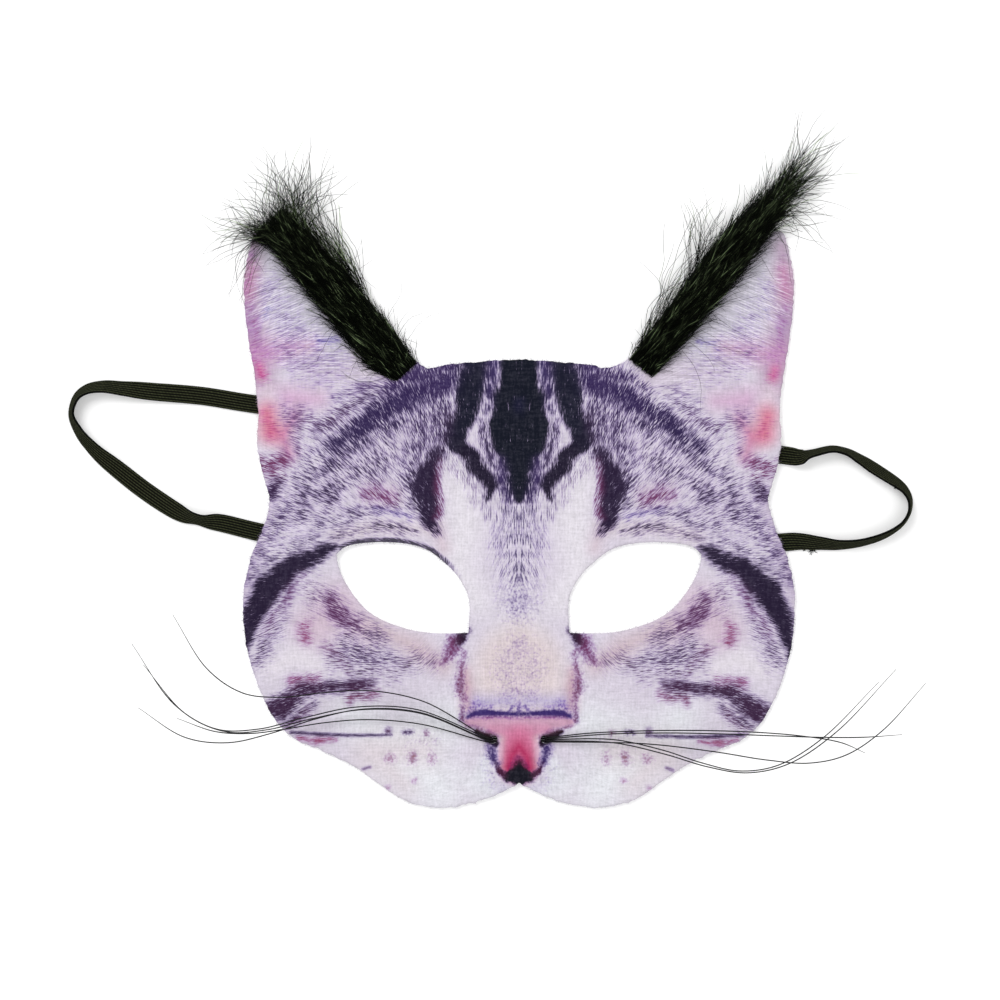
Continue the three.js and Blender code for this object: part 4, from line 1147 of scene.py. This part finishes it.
def make_fuzz(front_sheet, loops):
    """Fibres round the felt's cut edge, in the print's colours."""
    edge = np.vstack(loops)
    normals = np.vstack([outward(loop) for loop in loops])
    spot = rng.integers(len(edge), size=int(FUZZ_DENSITY * EDGE_STEP * len(edge)))
    along = np.column_stack([-normals[:, 1], normals[:, 0]])[spot]
    aside = rng.uniform(-EDGE_STEP / 2, EDGE_STEP / 2, (len(spot), 1))
    root = edge[spot] - FUZZ_ROOT * normals[spot] + aside * along
    height = front_sheet.heights(root) - EDGE_ROUND - rng.uniform(0, FELT - 2 * EDGE_ROUND, len(spot))
    bends = np.radians(rng.normal(0, FUZZ_BEND, (len(spot), FUZZ_POINTS - 1)))
    turn = np.radians(rng.uniform(-FUZZ_TURN, FUZZ_TURN, (len(spot), 1))) + np.cumsum(bends, axis=1)
    stride = (FUZZ_ROOT + rng.uniform(*FUZZ_LENGTH, (len(spot), 1))) / (FUZZ_POINTS - 1)
    heading = np.cos(turn)[:, :, None] * normals[spot][:, None] + np.sin(turn)[:, :, None] * along[:, None]
    climb = np.repeat(rng.uniform(*FUZZ_CLIMB, (len(spot), 1)), FUZZ_POINTS - 1, axis=1)
    steps = stride[:, :, None] * np.concatenate([heading, climb[:, :, None]], axis=2)
    start = np.column_stack([root, np.maximum(height, FUZZ_LOWEST[0])])[:, None]
    paths = np.concatenate([start, start + np.cumsum(steps, axis=1)], axis=1)
    paths[:, :, 2] = np.maximum(paths[:, :, 2], FUZZ_LOWEST[1])
    radii = np.repeat(rng.uniform(*FUZZ_WIDTH, (len(spot), 1)) / 2, FUZZ_POINTS, axis=1)
    made = strands("felt_edge_fuzz", paths, radii)
    corners = len(made.data.vertices) // len(paths)
    dress(made, [np.repeat(values, corners, axis=0) for values in printed_coat(root, loops)])
    return made


panel, panel_front, panel_loops = make_panel()
place_piece(panel, FELT_FINISH, "printed_felt", "face_panel")
fuzz = make_fuzz(panel_front, panel_loops)
place_piece(fuzz, FELT_FINISH, "printed_felt")


# Fur: a strip of long black pile up each ear. base and tip are the ends of its middle
# line, lean is 1 where the forehead lies to the right of it and -1 where to the left, and
# dense is the share of it that the coat and the undercoat fill. The pile's rows are [share
# of the length, width towards the forehead, width over the ear, height].
# Groups of hairs hold a count, and the low and high value of each of the following. share
# and across place the roots, across from -1 over the ear to 1 at the forehead. Then come
# a hair's angle from the strip's line at its root, towards the forehead, and the angle that
# it turns by on its way, both in degrees, and its length, lift and width.
FUR_STRIPS = [
    {
        "name": "left", "node": "ear_fur_left", "lean": 1, "dense": 0.98,
        "base": (-36.2, 71.8), "tip": (-82.4, 121.6),
        "loose": [
            (84, (0.4, 0.82), (0.86, 1.12), (6, 20), (-18, 2), (15, 30), (-0.4, 1), (0.16, 0.22)),
            (96, (0.9, 0.99), (-1.5, -0.6), (-40, 44), (-60, 60), (4, 10), (-0.4, 1), (0.14, 0.19)),
            (110, (0, 0.15), (-1.1, -0.7), (-50, 0), (-30, 30), (3, 8), (-0.5, 0.6), (0.12, 0.18)),
            (120, (0.86, 0.99), (-0.9, 1), (-30, 70), (-120, 120), (4, 12), (0, 1.6), (0.14, 0.19)),
            (84, (0.82, 0.98), (0, 1.1), (30, 84), (-70, 40), (11, 31), (0, 2), (0.15, 0.2)),
            (70, (0.9, 0.99), (-1.1, 0.1), (-70, 30), (-120, 100), (8, 25), (0, 2), (0.15, 0.2)),
            (12, (0.9, 0.98), (-1.1, -0.8), (-110, -60), (-50, 0), (15, 29), (0, 2), (0.13, 0.17)),
        ],
        "pile": [
            (0, 4.6, 6.4, 2.6), (0.1, 5.4, 8.2, 4.6), (0.3, 6.6, 7.5, 6), (0.55, 8.6, 6.2, 6.6),
            (0.8, 8, 5.4, 6.6), (0.93, 7.6, 4.8, 5.4), (1, 6, 4.6, 3.4),
        ],
    },
    {
        "name": "right", "node": "ear_fur_right", "lean": -1, "dense": 0.84,
        "base": (39.4, 73), "tip": (88.6, 133),
        "loose": [
            (30, (0.08, 0.45), (0.85, 1.06), (16, 42), (-84, -24), (16, 36), (0, 2), (0.14, 0.19)),
            (26, (0.42, 0.55), (0.82, 1.06), (24, 46), (-26, 14), (13, 24), (0, 2), (0.14, 0.19)),
            (34, (0.5, 0.94), (0.7, 1.04), (-6, 10), (-16, 16), (9, 20), (0, 2), (0.15, 0.2)),
            (90, (0.84, 0.99), (-0.8, 1), (-26, 14), (-34, 34), (7, 19), (0, 2), (0.14, 0.19)),
            (44, (0.78, 0.96), (-1, 0.1), (-30, -8), (-14, 10), (7, 14), (-0.4, 1), (0.15, 0.2)),
            (150, (0.82, 0.98), (-0.9, 0.9), (-9, 9), (-20, 20), (9, 19), (-0.4, 1), (0.15, 0.2)),
            (40, (0.9, 0.99), (-1, 1), (-16, 14), (-30, 30), (17, 32), (0, 2), (0.15, 0.2)),
            (30, (0.8, 0.98), (-1.1, -0.4), (-95, -30), (-50, 60), (8, 26), (0, 1.6), (0.14, 0.19)),
        ],
        "pile": [
            (0, 5.2, 5.6, 2.6), (0.08, 5.2, 5.4, 4.4), (0.3, 6.2, 6, 6), (0.55, 7.6, 6.2, 6.8),
            (0.75, 6.4, 5, 6.4), (0.9, 4, 3.2, 5), (1, 3, 2.6, 3.2),
        ],
    },
]
COAT = (5400, (0, 1), (-0.97, 0.86), (-12, 12), (-16, 16), (7, 16), (-0.4, 2), (0.09, 0.2))
HAIR_GROUPS = {
    "ear haze": (240, (0.03, 0.97), (-1.04, -0.8), (-54, 4), (-70, 70), (2, 8), (-0.6, 0.6), (0.08, 0.12)),
    "edge haze": (60, (0.04, 0.92), (0.82, 1), (-8, 18), (-30, 30), (2, 6), (-0.4, 0.8), (0.1, 0.15)),
    "strays": (40, (0.05, 1), (-1, 1), (-90, 90), (-90, 90), (12, 28), (0, 3), (0.1, 0.15)),
    "cut end": (260, (0, 0.12), (-1, 1), (-26, 26), (-20, 20), (4, 9), (0, 1.2), (0.12, 0.2)),
}
COAT_POINTS = 7
LOOSE_POINTS = 11
COAT_WAVE = 4.0
LOOSE_WAVE = 7.5
COAT_TRIM = (0.6, 1.35)
ROOT_LEVEL = 2.5
ROOT_HEIGHT = (0.1, 0.8)
LOWEST_HAIR = 2.6

# A painted highlight, a pale glint on a hair: its length as a share of the hair's, the widths
# between which hairs start to show it, and how rare the brightest are.
GLINT_LENGTH = 0.18
GLINT_WIDTHS = (0.13, 0.2)
GLINT_RARITY = 3

# The undercoat: its share of the pile's width and height, the levels of its underside and of
# its edge, and how far before its end it starts to round off and over which length, both as
# shares of the strip.
UNDERCOAT_RINGS = 44
UNDERCOAT_SIDES = 19
UNDERCOAT_WIDTH = 0.84
UNDERCOAT_HEIGHT = 0.62
UNDERCOAT_LEVELS = (2.42, 2.45)
UNDERCOAT_END = (0.13, 0.14)


def strip_axes(strip):
    """A strip's base, tip and pile rows, and unit vectors along it and towards the forehead."""
    base, tip = np.array(strip["base"]), np.array(strip["tip"])
    axis = unit(tip - base)
    inward = np.array([axis[1], -axis[0]]) * strip["lean"]
    return base, tip, np.array(strip["pile"]), axis, inward


def grow(strip, points, wave, trimmed, count, shares, across, lean, curl, reach, lift, thick):
    """The paths and radii of a group of hairs; trimmed ones end near the strip's tip."""
    base, tip, pile, axis, inward = strip_axes(strip)
    share = rng.uniform(*shares, count) * (strip["dense"] if trimmed else 1)
    offset = rng.uniform(*across, count)
    inner, outer, tall = (np.interp(share, pile[:, 0], pile[:, i]) for i in (1, 2, 3))
    sideways = np.where(offset > 0, offset * inner, offset * outer)
    root = base + share[:, None] * (tip - base) + sideways[:, None] * inward
    length = rng.uniform(*reach, count)
    if trimmed:
        room = (1 - share) * np.linalg.norm(tip - base)
        length = np.minimum(length, room * rng.uniform(*COAT_TRIM, count))
    angle = np.radians(rng.uniform(*lean, count))
    bend = np.radians(rng.uniform(*curl, count))
    step = np.linspace(0, 1, points)
    waves = np.cumsum(rng.normal(0, math.radians(wave), (count, points - 1)), axis=1)
    heading = angle[:, None] + bend[:, None] * (step[:-1] + 0.5 / points) + waves
    stride = length[:, None] / (points - 1)
    ahead = np.concatenate([np.zeros((count, 1)), np.cumsum(np.cos(heading) * stride, axis=1)], axis=1)
    beside = np.concatenate([np.zeros((count, 1)), np.cumsum(np.sin(heading) * stride, axis=1)], axis=1)
    flat = root[:, None] + ahead[:, :, None] * axis + beside[:, :, None] * inward
    crown = tall * np.sqrt(np.clip(1 - np.abs(offset) ** 2.2, 0.02, 1))
    low = ROOT_LEVEL + crown * rng.uniform(*ROOT_HEIGHT, count)
    peak = rng.uniform(*lift, count)
    arch = np.sin(math.pi * step[None] * 0.8)
    height = low[:, None] + peak[:, None] * arch
    paths = np.concatenate([flat, np.maximum(height, LOWEST_HAIR)[:, :, None]], axis=2)
    width = rng.uniform(*thick, count)[:, None] / 2 * (1 - 0.5 * step[None] ** 3)
    return paths, width


def make_hairs(name, paths, radii):
    """A mesh of hairs, with a short painted highlight, a pale glint, on some of the stouter ones."""
    made = strands(name, paths, radii)
    count, points, _ = paths.shape
    step = np.linspace(0, 1, points)[None]
    # Painted highlights: a pale glint along part of some hairs, in place of light reflected off them.
    bright = smoothstep(2 * radii[:, :1], *GLINT_WIDTHS) * rng.uniform(0, 1, (count, 1)) ** GLINT_RARITY
    painted_glint = bright * np.exp(-(((step - rng.uniform(0.1, 0.9, (count, 1))) / GLINT_LENGTH) ** 2))
    every = np.concatenate([np.repeat(painted_glint[:, :-1], 3, axis=1), painted_glint[:, -1:]], axis=1)
    attribute(made, "painted_glint", "FLOAT", every.ravel())
    return made


def make_fur(strip):
    """The strip's coat, its loose hairs, and the dark undercoat below them."""
    coat = make_hairs(f"{strip['name']}_ear_pile", *grow(strip, COAT_POINTS, COAT_WAVE, True, *COAT))
    place_piece(coat, HAIR_FINISH, "black_fur", strip["node"])
    rows = [*strip["loose"], *HAIR_GROUPS.values()]
    groups = [grow(strip, LOOSE_POINTS, LOOSE_WAVE, False, *row) for row in rows]
    paths, radii = (np.concatenate(arrays) for arrays in zip(*groups))
    wisps = make_hairs(f"{strip['name']}_ear_wisps", paths, radii)
    place_piece(wisps, HAIR_FINISH, "black_fur")

    base, tip, pile, _, inward = strip_axes(strip)
    turn = np.linspace(0, math.pi, UNDERCOAT_SIDES)
    rings = []
    for share in np.linspace(0.01, strip["dense"], UNDERCOAT_RINGS):
        rounded = max((share - strip["dense"] + UNDERCOAT_END[0]) / UNDERCOAT_END[1], 0)
        full = math.sqrt(max(1 - rounded**2, 0.04))
        inner, outer, tall = (full * np.interp(share, pile[:, 0], pile[:, i]) for i in (1, 2, 3))
        middle = base + share * (tip - base)
        across = np.cos(turn) * np.where(np.cos(turn) > 0, inner, outer) * UNDERCOAT_WIDTH
        rise = UNDERCOAT_LEVELS[1] + UNDERCOAT_HEIGHT * tall * np.sin(turn) ** 0.7
        flat = middle + across[:, None] * inward
        over = np.column_stack([flat, rise])
        under = np.column_stack([flat[1:-1][::-1], np.full(len(flat) - 2, UNDERCOAT_LEVELS[0])])
        ring = np.vstack([over, under])
        rings.append(ring if strip["lean"] < 0 else ring[::-1])
    undercoat = mesh_object(f"{strip['name']}_ear_undercoat", *loft(np.array(rings)))
    # The undercoat carries no painted glint.
    attribute(undercoat, "painted_glint", "FLOAT", np.zeros(len(undercoat.data.vertices)))
    place_piece(undercoat, HAIR_FINISH, "black_fur")


for strip in FUR_STRIPS:
    make_fur(strip)
